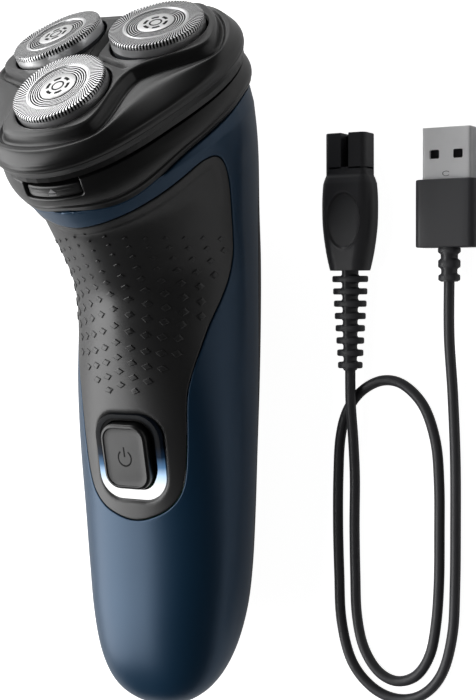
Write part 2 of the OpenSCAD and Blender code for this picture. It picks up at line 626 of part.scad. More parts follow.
// ---------------------------------------------------------------- hinge of the shaving unit
module hinge_bracket() color([0.3, 0.3, 0.31]) difference() {
    union() {
        for (s = [-1, 1]) in_head() translate([s * (lug_in + lug_out) / 2, hinge_v, hinge_w]) {
            rotate([0, 90, 0]) translate([0, 0, (lug_in - lug_out) / 2]) cylinder(r = hinge_r, h = lug_out - lug_in);
            translate([0, -0.4, -3.4]) slab(lug_out - lug_in, bracket_t, 3.4);
        }
        in_head() translate([0, hinge_v - 0.4, hinge_w - 6.8]) slab(2 * lug_out, bracket_t, 3.41);
    }
    hinge_bar(far / 4, pin_radius);
}
module hinge_pin() color([0.75, 0.75, 0.77]) hinge_bar(lug_out, pin_radius);
arm_half = lug_in - 0.3;
module hinge_arm() color([0.25, 0.25, 0.26]) difference() {
    union() {
        hinge_bar(arm_half, hinge_r);
        in_head() translate([0, hinge_v - 2.6, hinge_w + 0.4]) slab(2 * arm_half, 2.6, 3.2);
    }
    hinge_bar(far / 4, pin_radius + running_gap);
}

// ---------------------------------------------------------------- shaving unit
rim_t = 1.5;
unit_w0 = -head_h + seam_gap;
rim_w1 = unit_w0 + rim_t;
// Outline with a lobe round each cap: its reach, the half width of a lobe and the radius between lobes
function lobed(reach, half, gap, t) = let(off = min([for (a = cap_angles) abs((-t - a + 900) % 360 - 180)]),
    flank = half / max(sin(min(off, 60)), 0.05), lobe = pow(pow(reach, -10) + pow(flank, -10), -0.1))
    pow(pow(lobe, 12) + pow(gap, 12), 1 / 12);
function lobed_ring(reach, half, gap, w, fall, n) = [for (i = [0:n - 1]) let(t = 360 * i / n,
    r = lobed(reach, half, gap, t)) head_point(r * cos(t), -r * sin(t), w - fall * max(0, r - cap_ring_r))];
unit_n = 66;
lobe_half = cap_d / 2 + cap_gap + 1.2;
lobe_reach = cap_ring_r + cap_d / 2 + 1.8;
lobe_gap = cap_ring_r;
skirt_w = -8.9;
plateau_w = -2.1;
plateau_fall = sin(cap_tilt);
function half_way(a, b, raise) = [for (i = [0:len(a) - 1]) (a[i] + b[i]) / 2
    + raise * [0, cos(head_lean), sin(head_lean)]];
module unit_form(inset) {
    n = inset > 0 ? unit_n * 2 / 3 : unit_n;
    lip = tri_ring(seam_r + 1 - inset, rim_w1 + seam_gap / 2 - (inset > 0 ? 3 : 0), n);
    belly = tri_ring(seam_r + skirt_bulge - inset, skirt_w, n);
    shoulder = tri_ring(seam_r + skirt_bulge - 0.5 - inset, skirt_w + 1.5, n);
    crest = lobed_ring(lobe_reach + 1.6 - inset, lobe_half + 2.2 - inset, lobe_gap + 2.4 - inset,
        plateau_w - 1.9 - inset, plateau_fall * 1.2, n);
    groove = lobed_ring(lobe_reach + 0.8 - inset, lobe_half + 1 - inset, lobe_gap + 0.9 - inset,
        plateau_w - 2.1 - inset, plateau_fall * 1.1, n);
    step = lobed_ring(lobe_reach + 0.4 - inset, lobe_half + 0.5 - inset, lobe_gap + 0.4 - inset,
        plateau_w - 0.9 - inset, plateau_fall, n);
    edge = lobed_ring(lobe_reach - inset, lobe_half - inset, lobe_gap - inset, plateau_w - inset,
        plateau_fall, n);
    top = [for (i = [0:n - 1]) head_point(3 * cos(360 * i / n), -3 * sin(360 * i / n),
        plateau_w - inset)];
    loft([lip, belly, shoulder, half_way(shoulder, crest, 0.6), crest, groove, step, edge, top]);
}
module hinge_room() {
    hinge_bar(lug_out + 0.3, hinge_r + 0.3);
    in_head() translate([0, hinge_v - 3, hinge_w + 0.3]) slab(2 * arm_half + 0.2, 8, 3.6);
}
module unit_cover() color([0.17, 0.17, 0.18]) difference() {
    union() {
        difference() {
            unit_form(0);
            unit_form(cover_wall);
        }
        for (t = [10:40:330]) hull() {
            translate(tri_point(seam_r + skirt_bulge - cover_wall - 0.9, t, skirt_w)) sphere(0.5, $fn = 8);
            translate(tri_point(seam_r + skirt_bulge - cover_wall + 0.5, t, skirt_w)) sphere(0.5, $fn = 8);
            translate(tri_point(seam_r + skirt_bulge - cover_wall, t, skirt_w + 1.3)) sphere(0.5, $fn = 8);
        }
    }
    for (i = [0:2]) at_cap(i) translate([0, 0, -9]) cylinder(r = cap_d / 2 + cap_gap, h = 20);
    hinge_room();
}
module unit_base() color([0.24, 0.24, 0.25]) difference() {
    in_head() translate([0, unit_v, unit_w0]) linear_extrude(rim_t) difference() {
        polygon([for (i = [0:unit_n - 1]) let(t = 360 * i / unit_n, r = tri_r(seam_r + 0.8, t))
            [r * cos(t), -r * sin(t)]]);
        polygon([for (i = [0:unit_n - 1]) let(t = 360 * i / unit_n, r = tri_r(seam_r - 3, t))
            [r * cos(t), -r * sin(t)]]);
    }
    hinge_room();
    in_head() translate([0, hinge_v - 4, unit_w0 - 1]) slab(2 * lug_out + 0.6, 12, rim_t + 2);
}
frame_w0 = rim_w1 + 0.05;
guard_t = 1.4;
hub_r = cap_ring_r - cap_d / 2 - 1.2;
module retaining_frame() color([0.8, 0.8, 0.8]) in_head() difference() {
    union() {
        translate([0, unit_v, frame_w0]) linear_extrude(guard_t)
            polygon([for (i = [0:unit_n - 1]) let(t = 360 * i / unit_n, r = tri_r(seam_r - 1.2, t))
                [r * cos(t), -r * sin(t)]]);
        translate([0, 0, frame_w0]) cylinder(r = hub_r, h = plateau_w - cover_wall - 0.3 - frame_w0);
    }
    for (a = cap_angles) rotate([0, 0, a]) translate([cap_ring_r - 0.6, 0, frame_w0 - 1])
        cylinder(r = cap_d / 2 - 1.4, h = guard_t + 2);
    translate([0, hinge_v, frame_w0 - 1]) slab(2 * lug_out + 1, 14, guard_t + 2);
}
holder_t = 2.6;
module cap_holder(i) color([0.15, 0.15, 0.16]) at_cap(i) difference() {
    translate([0, 0, -cap_h - holder_t]) tube(cap_d / 2 - 0.1, cap_d / 2 - 2.4, holder_t);
    for (a = [0, 120, 240]) rotate([0, 0, a]) translate([cap_d / 2 - 2.6, 0, -cap_h - holder_t - 1])
        slab(1.6, 4, 2);
}
band_in = 0.65;
module shaving_cap(i) color([0.75, 0.75, 0.76]) at_cap(i) rotate_extrude($fn = 96) {
    r = cap_d / 2;
    polygon([[0.9, -0.9], [r * band_in - 0.3, -0.9], [r * band_in - 0.3, -cap_t - 0.1],
        [r - cap_t, -cap_t - 0.1], [r - cap_t, -cap_h], [r, -cap_h], [r, -0.3], [r - 0.3, 0],
        [r * band_in, 0], [r * band_in - 0.3, -0.15], [r * band_in - 0.5, -0.45], [0.9, -0.45]]);
}
module cap_centre(i) color([0.9, 0.9, 0.9]) at_cap(i) {
    translate([0, 0, -0.45]) cylinder(r = cap_d * 0.21, h = 0.3);
    translate([0, 0, -0.9]) cylinder(r = 0.9, h = 0.5);
}
socket_r = 2.1;
blade_in = cap_d / 2 * band_in + 0.2;
blade_out = cap_d / 2 - cap_t - 0.8;
module cutter(i) color([0.7, 0.7, 0.7]) at_cap(i) difference() {
    union() {
        translate([0, 0, -2.4]) cylinder(r = cap_d / 2 - 2.2, h = 0.8);
        translate([0, 0, -6.4]) cylinder(r = socket_r + 1.3, h = 4.1);
        for (k = [0:cutter_blades - 1]) rotate([0, 0, 360 * k / cutter_blades])
            translate([blade_in, -0.25, -2.3]) cube([blade_out - blade_in, 0.5, 1.55]);
    }
    translate([0, 0, -7]) rotate([0, 0, -cap_angles[i]]) cylinder(r = socket_r / cos(30), h = 4.2, $fn = 6);
}

// ---------------------------------------------------------------- charging lead
lead_x = 43;
plug_y = 55.8;
tip_l = 9.9;
tip_w = 10.7;
tip_h = 6.6;
body_w = 13.5;
body_l = 23.5;
body_h = 8.6;
plug_z = body_h / 2;
relief_l = 24.4;
module plug_tip() color([0.12, 0.12, 0.12]) translate([lead_x, plug_y, plug_z]) rotate([90, 0, 0])
    difference() {
        linear_extrude(tip_l) rounded(tip_w, tip_h, 1.3);
        translate([0, 0, -1]) linear_extrude(9.3) square([2, tip_h + 2], center = true);
        for (s = [-1, 1]) translate([s * pin_pitch / 2, 0, -1]) cylinder(r = pin_r + 0.1, h = 8);
    }
module plug_body() color([0.12, 0.12, 0.12]) translate([lead_x, plug_y - tip_l, plug_z]) difference() {
    hull() {
        rotate([90, 0, 0]) linear_extrude(body_l - 5) rounded(body_w, body_h, 3.2);
        translate([0, 0, 0]) rotate([90, 0, 0]) linear_extrude(body_l) rounded(body_w - 3.4, body_h - 1, 3);
    }
    translate([0, -body_l / 2 - 1, body_h / 2 - 0.5]) linear_extrude(2) scale([0.63, 1]) circle(6.9);
}
relief_y = plug_y - tip_l - body_l;
module plug_relief() color([0.12, 0.12, 0.12]) translate([lead_x, relief_y, plug_z]) rotate([90, 0, 0])
    difference() {
        union() {
            cylinder(r1 = 3, r2 = 2, h = relief_l);
            for (k = [0:7]) translate([0, 0, 1.2 + k * 3]) cylinder(r1 = 4.2 - k * 0.2, r2 = 4 - k * 0.2, h = 1.4);
        }
        translate([0, 0, relief_l - 3]) cylinder(d = cord_d + 0.1, h = 9);
    }
usb_x = 68.5;
usb_y = 55.8;
usb_z = 3.9;
usb_w = 12;
usb_h = 4.5;
usb_l = 12.2;
mould_w = 15;
mould_l = 16;
mould_h = 7.8;
usb_relief_l = 8.1;
module usb_shell() color([0.8, 0.8, 0.82]) translate([usb_x, usb_y, usb_z]) rotate([90, 0, 0])
    difference() {
        linear_extrude(usb_l) square([usb_w, usb_h], center = true);
        translate([0, 0, -1]) linear_extrude(usb_l) square([usb_w - 0.6, usb_h - 0.6], center = true);
        for (s = [-1, 1]) translate([s * 2.6, usb_h / 2, 6]) rotate([90, 0, 0]) translate([0, 0, -1])
            linear_extrude(2) square([2.2, 2.2], center = true);
    }
module usb_tongue() color([0.12, 0.12, 0.12]) translate([usb_x, usb_y - 0.6, usb_z]) rotate([90, 0, 0])
    linear_extrude(usb_l - 1.6) translate([0, -0.9]) square([usb_w - 1, 1.9], center = true);
module usb_overmould() color([0.12, 0.12, 0.12]) translate([usb_x, usb_y - usb_l, usb_z]) rotate([90, 0, 0])
    linear_extrude(mould_l) rounded(mould_w, mould_h, 1.6);
usb_relief_y = usb_y - usb_l - mould_l;
module usb_relief() color([0.12, 0.12, 0.12]) translate([usb_x, usb_relief_y, usb_z]) rotate([90, 0, 0])
    difference() {
        union() {
            cylinder(r1 = 2.3, r2 = 1.9, h = usb_relief_l);
            for (k = [0:2]) translate([0, 0, 1 + k * 2.4]) cylinder(r = 2.7 - k * 0.1, h = 1.2);
        }
        translate([0, 0, usb_relief_l - 3]) cylinder(d = cord_d + 0.1, h = 9);
    }
// Points of the cord's route on the table, from the plug to the USB end
cord_route = [[43, 0.8, 4.3], [43, -5.2, 4.3], [43, -11.2, 4], [43, -19.2, 2.6], [42.9, -29.2, 1.4], [42.8, -41.2, 1.4],
    [43, -53.2, 1.4], [43.4, -63.2, 1.4], [45.2, -71.2, 1.4], [49, -76.8, 1.4], [54, -78.8, 1.4],
    [59.2, -76.8, 1.4], [62.8, -71.2, 1.4], [64.4, -63.2, 1.4], [65.1, -53.2, 1.4], [65.2, -41.2, 1.4],
    [65.1, -29.2, 1.4], [64.2, -19.2, 1.4], [61.2, -10.7, 1.4], [56, -5.6, 1.4], [50.5, -4.6, 1.4],
    [45, -7.2, 1.4], [41, -12.2, 1.4], [39, -19.2, 1.4], [38.4, -29.2, 1.4], [38.3, -41.2, 1.4], [38.6, -53.2, 1.4],
    [39.2, -65.2, 1.4], [42, -75.2, 1.4], [47.6, -81.2, 1.4], [54.4, -83.2, 1.4], [61, -81.2, 1.4],
    [66, -75.2, 1.4], [68.6, -65.2, 1.4], [69.2, -53.2, 1.4], [69.3, -39.2, 1.4], [69.2, -23.2, 1.4],
    [68.8, -7.2, 2.2], [68.5, 6.8, 3.9], [68.5, 21.8, 3.9]];
function route_at(s) = let(m = len(cord_route) - 1, i = min(floor(s), m - 1))
    blend(cord_route[max(i - 1, 0)], cord_route[i], cord_route[i + 1], cord_route[min(i + 2, m)], s - i);
module cord() color([0.1, 0.1, 0.1]) sweep([for (i = [0:2 * (len(cord_route) - 1)]) route_at(i / 2)],
    cord_d / 2 - 0.02, 8);

front_shell();
back_cover();
front_grip();
light_ring();
power_button();
tact_switch();
circuit_board();
ring_lights();
inner_frame();
battery();
battery_tabs();
inlet_socket();
inlet_pins();
collar();
chamber_floor();
gear_plate();
gear_plate_screws();
motor_can();
motor_shaft();
motor_pinion();
drive_gear(0);  // drive_gear_1
drive_gear(1);  // drive_gear_2
drive_gear(2);  // drive_gear_3
drive_spindle(0);  // drive_spindle_1
drive_spindle(1);  // drive_spindle_2
drive_spindle(2);  // drive_spindle_3
release_button();
release_spring();
hinge_bracket();
hinge_pin();
hinge_arm();
unit_base();
unit_cover();
retaining_frame();
cap_holder(0);  // cap_holder_1
cap_holder(1);  // cap_holder_2
cap_holder(2);  // cap_holder_3
shaving_cap(0);  // shaving_cap_1
shaving_cap(1);  // shaving_cap_2
shaving_cap(2);  // shaving_cap_3
cap_centre(0);  // cap_centre_1
cap_centre(1);  // cap_centre_2
cap_centre(2);  // cap_centre_3
cutter(0);  // cutter_1
cutter(1);  // cutter_2
cutter(2);  // cutter_3
plug_tip();
plug_body();
plug_relief();
cord();
usb_relief();
usb_overmould();
usb_shell();
usb_tongue();
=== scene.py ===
"""Electric shaver with three round heads, lying on its back beside its charging lead.

Sizes are in millimetres in the classes and become metres in the meshes. X runs to the right,
Y along the handle towards the head and Z up out of the front of the handle.
"""
import logging
from collections.abc import Callable, Sequence
from dataclasses import dataclass, field
from enum import Enum
from functools import cache

import bpy
import numpy as np
from mathutils import Matrix


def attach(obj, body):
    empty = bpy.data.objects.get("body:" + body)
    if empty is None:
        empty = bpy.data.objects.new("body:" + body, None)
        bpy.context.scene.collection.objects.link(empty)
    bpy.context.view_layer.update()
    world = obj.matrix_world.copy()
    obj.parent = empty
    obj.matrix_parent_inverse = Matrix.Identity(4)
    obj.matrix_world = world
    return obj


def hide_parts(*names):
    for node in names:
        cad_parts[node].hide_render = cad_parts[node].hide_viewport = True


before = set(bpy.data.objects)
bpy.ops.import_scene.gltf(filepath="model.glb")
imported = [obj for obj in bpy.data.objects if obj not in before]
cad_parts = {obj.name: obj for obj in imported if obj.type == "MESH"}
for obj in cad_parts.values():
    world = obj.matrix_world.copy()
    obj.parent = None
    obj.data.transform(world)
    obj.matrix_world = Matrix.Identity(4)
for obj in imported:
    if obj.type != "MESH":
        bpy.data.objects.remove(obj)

logging.basicConfig(level=logging.INFO, format="%(message)s")
log = logging.getLogger("shaver")
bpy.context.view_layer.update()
MM = 0.001
FAR = 50.0  # a distance that means: nowhere near this border
BUTTON_WELL = (18.5, 21.5, 6.0)  # the grip's opening round the power button: width, length, corner
Array = np.ndarray
Field = Callable[[Array], Array]
Shape = tuple[Array, Array]  # points, and triangles as rows of point numbers


class Body(Enum):
    """The bodies of the shaver that the visible pieces ride on."""

    ROOT = "root"
    POWER = "power_button"
    RELEASE = "release_button"
    UNIT = "shaving_unit"
    HEAD_1 = "head_1"
    HEAD_2 = "head_2"
    HEAD_3 = "head_3"


class Slot(Enum):
    """The material slots of the record that the visible pieces take."""

    SHELL = "shell_paint"
    BACK = "back_plastic"
    GRIP = "grip_rubber"
    RING = "ring_light"
    BLACK = "satin_black"
    CAP = "cap_steel"
    BRIGHT = "cap_bright"
    LEAD = "lead_black"


# ---------------------------------------------------------------- small formulas
def linear(colour: Sequence[float]) -> tuple[float, float, float, float]:
    """Turns a colour written as 0 to 255 into scene-linear numbers.

    Args:
        colour: red, green and blue.

    Returns:
        The linear colour with an alpha of one.
    """
    c = np.asarray(colour, float) / 255
    return (*np.where(c <= 0.04045, c / 12.92, ((c + 0.055) / 1.055) ** 2.4).tolist(), 1.0)


def ease(x: Array) -> Array:
    """Goes smoothly from 0 to 1 as x does: 3 x squared less 2 x cubed."""
    x = np.clip(x, 0, 1)
    return x * x * (3 - 2 * x)


def turned(a: Array, b: Array, degrees: float) -> tuple[Array, Array]:
    """Turns two coordinates: a cos less b sin, and a sin plus b cos.

    Args:
        a: the first coordinate.
        b: the second coordinate.
        degrees: the angle, from the first axis towards the second.

    Returns:
        Both coordinates after the turn.
    """
    cos, sin = np.cos(np.radians(degrees)), np.sin(np.radians(degrees))
    return a * cos - b * sin, a * sin + b * cos


def polar(radius: Array | float, turn: Array, height: Array | float) -> Array:
    """Places on circles: radius times cosine, radius times sine, and height.

    Args:
        radius: distance from the axis.
        turn: angle in radians.
        height: place along the axis.

    Returns:
        The places, with their coordinates along the last axis.
    """
    radius, turn, height = np.broadcast_arrays(radius, turn, height)
    return np.stack([radius * np.cos(turn), radius * np.sin(turn), height], -1)


def run_length(places: Array) -> Array:
    """Length along a chain up to each of its places: the running sum of its steps."""
    return np.concatenate([[0], np.cumsum(np.linalg.norm(np.diff(places, axis=0), axis=1))])


def bell(reach: int, spread: float) -> Array:
    """Weights of a bell curve: e to minus half the square of offset over spread, with a sum of one."""
    weights = np.exp(-0.5 * (np.arange(-reach, reach + 1) / spread) ** 2)
    return weights / weights.sum()


def through(knots: Array, at: Array) -> Array:
    """Smooth curve through knots, the Catmull-Rom cubic of each four neighbours.

    Args:
        knots: values at 0, 1, 2 and so on, along the first axis.
        at: places along the knots.

    Returns:
        The values at those places.
    """
    last = len(knots) - 1
    i = np.clip(np.floor(at).astype(int), 0, last - 1)
    t = (at - i).reshape(-1, *([1] * (knots.ndim - 1)))
    a, b, c, d = knots[np.maximum(i - 1, 0)], knots[i], knots[i + 1], knots[np.minimum(i + 2, last)]
    return 0.5 * (2 * b + (c - a) * t + (2 * a - 5 * b + 4 * c - d) * t ** 2
                  + (3 * b - a - 3 * c + d) * t ** 3)


def rounded_distance(x: Array, y: Array, width: float, length: float, radius: float) -> Array:
    """Signed distance from a rounded rectangle about the origin, negative inside.

    Args:
        x: places across.
        y: places along.
        width: full width.
        length: full length.
        radius: corner radius.

    Returns:
        The distance of each place.
    """
    qx = np.abs(x) - width / 2 + radius
    qy = np.abs(y) - length / 2 + radius
    outside = np.hypot(np.maximum(qx, 0), np.maximum(qy, 0))
    return outside + np.minimum(np.maximum(qx, qy), 0) - radius


def rounded_loop(width: float, length: float, radius: float, arc: int = 9, side: int = 6) -> Array:
    """Points round a rounded rectangle, the same count on each arc and side.

    Args:
        width: full width.
        length: full length.
        radius: corner radius.
        arc: points on each corner.
        side: points on each side.

    Returns:
        The points as rows of x and y, anticlockwise from the right side.
    """
    quarter = np.linspace(0, np.pi / 2, arc)
    hx, hy = width / 2 - radius, length / 2 - radius
    corners = [np.stack([sx * hx + radius * np.cos(quarter + turn),
                         sy * hy + radius * np.sin(quarter + turn)], 1)
               for sx, sy, turn in ((1, 1, 0), (-1, 1, np.pi / 2), (-1, -1, np.pi), (1, -1, 1.5 * np.pi))]
    share = np.linspace(0, 1, side + 2)[1:-1, None]
    parts = []
    for k in range(4):
        here, after = corners[k], corners[(k + 1) % 4]
        parts += [here, here[-1] * (1 - share) + after[0] * share]
    return np.vstack(parts)


def distance_to_loop(points: Array, loop: Array) -> Array:
    """Distance of points from a closed chain of straight pieces.

    Args:
        points: rows of places.
        loop: rows of the chain's corners.

    Returns:
        The distance of each point.
    """
    ab = np.roll(loop, -1, 0) - loop
    size = np.maximum((ab ** 2).sum(1), 1e-12)
    parts = []
    for some in np.array_split(points, max(1, len(points) // 3000)):
        rel = some[:, None, :] - loop[None]
        t = np.clip((rel * ab).sum(2) / size, 0, 1)
        parts.append(np.sqrt(((rel - t[..., None] * ab) ** 2).sum(2).min(1)))
    return np.concatenate(parts)


def inside_loop(points: Array, loop: Array) -> Array:
    """Tells which points lie inside a flat closed chain, by counting crossings.

    Args:
        points: rows of two numbers.
        loop: rows of two numbers.

    Returns:
        True for each point inside.
    """
    x, y = points[:, :1], points[:, 1:2]
    a, b = loop, np.roll(loop, -1, 0)
    spans = (a[:, 1] > y) != (b[:, 1] > y)
    rise = np.where(np.abs(b[:, 1] - a[:, 1]) < 1e-12, 1e-12, b[:, 1] - a[:, 1])
    cross = a[:, 0] + (y - a[:, 1]) * (b[:, 0] - a[:, 0]) / rise
    return (spans & (x < cross)).sum(1) % 2 == 1


def rolled(distance: Array, radius: float) -> Array:
    """Depth of a quarter round beside a border: r less the root of r squared less (r - d) squared."""
    gap = np.clip(radius - distance, 0, radius)
    return radius - np.sqrt(np.maximum(radius ** 2 - gap ** 2, 0))


# ---------------------------------------------------------------- patches and meshes
@dataclass
class Patch:
    """Triangles over points that each carry a row of numbers, such as two surface measures."""

    values: Array
    tris: Array

    @classmethod
    def grid(cls, us: Array, vs: Array) -> "Patch":
        """Makes a patch on a grid.

        Args:
            us: first measure, one per row of the grid.
            vs: second measure, one per column.

        Returns:
            The patch, whose values are pairs of the two measures.
        """
        return cls.over(np.stack(np.meshgrid(us, vs, indexing="ij"), -1))

    @classmethod
    def over(cls, rings: Array) -> "Patch":
        """Makes a patch over rings of points, whose own numbers become its values."""
        return cls(rings.reshape(-1, rings.shape[2]), cls.cells(*rings.shape[:2]))

    @staticmethod
    def cells(rows: int, columns: int) -> Array:
        """Two triangles for each cell of a grid, their long sides turned about in a chequer.

        Args:
            rows: rows of points.
            columns: columns of points.

        Returns:
            The triangles.
        """
        j, i = np.meshgrid(np.arange(rows - 1), np.arange(columns - 1), indexing="ij")
        a = (j * columns + i).ravel()
        b, c, d = a + 1, a + columns + 1, a + columns
        odd = ((i + j).ravel() % 2)[:, None].astype(bool)
        first = np.where(odd, np.stack([a, b, c], 1), np.stack([a, b, d], 1))
        second = np.where(odd, np.stack([a, c, d], 1), np.stack([b, c, d], 1))
        return np.vstack([first, second])

    def cut(self, distance: Field, level: float = 0.0, both: bool = False) -> "Patch":
        """Cuts the triangles along the line where a distance has a level.

        A triangle with one corner on its own side gives a small triangle at that corner and two
        more beyond the line. The new points lie on its sides, where the distance reaches the level.

        Args:
            distance: gives each point's distance from its values.
            level: the distance at which to cut.
            both: keeps both sides, so that only an edge is added.

        Returns:
            The part where the distance is more than the level, or all of it with the new edge.
        """
        f = distance(self.values) - level
        f = np.where(np.abs(f) < 1e-4, 1e-4, f)
        up = f > 0
        count = up[self.tris].sum(1)
        whole = self.tris[(count == 3) | ((count == 0) & both)]
        mixed = self.tris[(count == 1) | (count == 2)]
        signs = up[mixed]
        lone = np.where(signs.sum(1) == 1, signs.argmax(1), (~signs).argmax(1))
        mixed = np.take_along_axis(mixed, (lone[:, None] + np.arange(3)) % 3, 1)
        a, b, c = mixed.T
        pairs = np.sort(np.concatenate([np.stack([a, b], 1), np.stack([a, c], 1)]), 1)
        ends, back = np.unique(pairs, axis=0, return_inverse=True)
        share = (f[ends[:, 0]] / (f[ends[:, 0]] - f[ends[:, 1]]))[:, None]
        new = self.values[ends[:, 0]] * (1 - share) + self.values[ends[:, 1]] * share
        p, q = np.split(len(self.values) + back.ravel(), 2)
        corner = np.stack([a, p, q], 1)
        rest = np.vstack([np.stack([p, b, c], 1), np.stack([p, c, q], 1)])
        if not both:
            corner, rest = corner[up[a]], rest[np.tile(~up[a], 2)]
        return Patch(np.vstack([self.values, new]), np.vstack([whole, corner, rest])).packed()

    def packed(self) -> "Patch":
        """Drops the points that no triangle uses."""
        used, tris = np.unique(self.tris, return_inverse=True)
        return Patch(self.values[used], tris.reshape(-1, 3))

    def trimmed(self, distance: Field, roll: float) -> "Patch":
        """Trims at distance zero and adds close edges beside the cut for a rounded border.

        Args:
            distance: gives each point's distance inside the border.
            roll: radius of the rounding.

        Returns:
            The trimmed patch.
        """
        patch = self.cut(distance)
        for share in (0.12, 0.4, 1.0):
            patch = patch.cut(distance, share * roll, both=True)
        return patch


def welded(rows: Array, faces: Array) -> Shape:
    """Joins points that fall together, and drops the faces that collapse.

    Args:
        rows: rows that start with a place.
        faces: rows of point numbers.

    Returns:
        The rows and faces that are left.
    """
    _, first, back = np.unique(np.round(rows[:, :3], 4), axis=0, return_index=True, return_inverse=True)
    faces = back.ravel()[faces]
    return rows[first], faces[(np.diff(np.sort(faces, 1), axis=1) > 0).all(1)]


def thick(outer: Array, inner: Array, tris: Array) -> Shape:
    """Closes a sheet: its outer side, its inner side the other way round, and walls at its borders.

    Args:
        outer: places of the outer side.
        inner: places of the inner side, one for each of the outer side.
        tris: the triangles of the sheet.

    Returns:
        The points and triangles of the closed sheet.
    """
    both, tris = welded(np.hstack([outer, inner]), tris)
    n = len(both)
    edges = np.vstack([tris[:, [0, 1]], tris[:, [1, 2]], tris[:, [2, 0]]])
    code = edges[:, 0] * n + edges[:, 1]
    a, b = edges[~np.isin(edges[:, 1] * n + edges[:, 0], code)].T
    walls = np.vstack([np.stack([b, a, a + n], 1), np.stack([b, a + n, b + n], 1)])
    return np.vstack([both[:, :3], both[:, 3:]]), np.vstack([tris, tris[:, ::-1] + n, walls])


def hollowed(patch: Patch, border: Field, roll: float, wall: float) -> Shape:
    """Trims a patch whose values are places and normals, rounds its border and gives it a wall.

    Args:
        patch: the patch, with six numbers a point.
        border: distance inside the border.
        roll: radius of the border's rounding.
        wall: thickness, taken inwards along the normals.

    Returns:
        The closed sheet.
    """
    patch = patch.trimmed(border, roll)
    place, normal = patch.values[:, :3], patch.values[:, 3:]
    outer = place - normal * rolled(border(patch.values), roll)[:, None]
    return thick(outer, place - normal * wall, patch.tris)


def between_rings(count: int, n: int) -> Array:
    """Triangles between closed rings that follow one another.

    Args:
        count: how many rings there are.
        n: points on each ring.

    Returns:
        The triangles, first one half of every cell, row after row, and then the other halves.
    """
    i = np.arange(n)
    j = np.arange(count - 1)[:, None] * n
    a, b = (j + i).ravel(), (j + (i + 1) % n).ravel()
    return np.vstack([np.stack([a, b, b + n], 1), np.stack([a, b + n, a + n], 1)])


def loft(rings: Array) -> Shape:
    """Closed skin over rings of points, each end closed by a fan from its middle.

    Args:
        rings: an array of rings, points and coordinates.

    Returns:
        The points and triangles.
    """
    m, n, _ = rings.shape
    points = np.vstack([rings.reshape(-1, 3), rings[0].mean(0), rings[-1].mean(0)])
    i = np.arange(n)
    after, end = (i + 1) % n, (m - 1) * n
    return points, np.vstack([between_rings(m, n), np.stack([np.full(n, m * n), after, i], 1),
                              np.stack([np.full(n, m * n + 1), end + i, end + after], 1)])


def strip(a: Array, b: Array, low: float, high: float) -> Array:
    """Sections of a flat strip between two lines: four corners at each pair of their points.

    Args:
        a: rows of x and y.
        b: rows of x and y, one for each of the first line.
        low: height of the underside.
        high: height of the top.

    Returns:
        The sections, as loft takes them.
    """
    return np.stack([np.column_stack([line, np.full(len(line), height)])
                     for line, height in ((a, low), (b, low), (b, high), (a, high))], 1)


def joined(parts: Sequence[Shape]) -> Shape:
    """Puts several closed skins into one list of points and one of triangles.

    Args:
        parts: the skins.

    Returns:
        All their points, and all their triangles with new numbers.
    """
    counts = np.cumsum([0] + [len(points) for points, _ in parts])
    return (np.vstack([points for points, _ in parts]),
            np.vstack([tris + start for (_, tris), start in zip(parts, counts)]))


def linked(name: str, data: bpy.types.ID) -> bpy.types.Object:
    """Makes an object of some data and puts it into the scene.

    Args:
        name: the object's name.
        data: its mesh, curve, lamp or camera.

    Returns:
        The object.
    """
    obj = bpy.data.objects.new(name, data)
    bpy.context.scene.collection.objects.link(obj)
    return obj


def piece(name: str, shape: Shape, finish: "Finish", body: Body,
          stands_for: Sequence[str] = (), sharp: float = 32.0, second: "Finish | None" = None,
          marks: Array | None = None) -> bpy.types.Object:
    """Makes a mesh object, dresses it and lets it ride on its body.

    Args:
        name: the object's name.
        shape: places in millimetres, and triangles.
        finish: the finish of the faces.
        body: the body that it moves with.
        stands_for: CAD nodes that it replaces.
        sharp: edges sharper than this angle in degrees stay hard.
        second: another finish, for the faces that are marked.
        marks: True for each face with the second finish.

    Returns:
        The object.
    """
    points, faces = shape
    corners = points[faces]
    volume = np.einsum("ij,ij->i", corners[:, 0], np.cross(corners[:, 1], corners[:, 2])).sum()
    if volume < 0:
        faces = faces[:, ::-1]
    mesh = bpy.data.meshes.new(name)
    mesh.from_pydata((points * MM).tolist(), [], faces.tolist())
    mesh.materials.append(finish.material())
    if second is not None and marks is not None:
        mesh.materials.append(second.material())
        mesh.polygons.foreach_set("material_index", marks.astype(np.int32))
    mesh.validate()
    mesh.polygons.foreach_set("use_smooth", np.ones(len(mesh.polygons), bool))
    mesh.set_sharp_from_angle(angle=np.radians(sharp))
    mesh.update()
    obj = linked(name, mesh)
    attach(obj, body.value)
    if stands_for:
        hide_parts(*stands_for)
    log.info("%s: %d points, %d faces", name, len(points), len(faces))
    return obj


# ---------------------------------------------------------------- finishes
def added(nodes: bpy.types.Nodes, kind: str, **levels: float) -> bpy.types.Node:
    """Adds a shader node and sets its inputs.

    Args:
        nodes: the nodes of a material or a world.
        kind: the node's type.
        levels: values of inputs, named with underscores for spaces.

    Returns:
        The node.
    """
    node = nodes.new(kind)
    for name, level in levels.items():
        node.inputs[name.replace("_", " ")].default_value = level
    return node


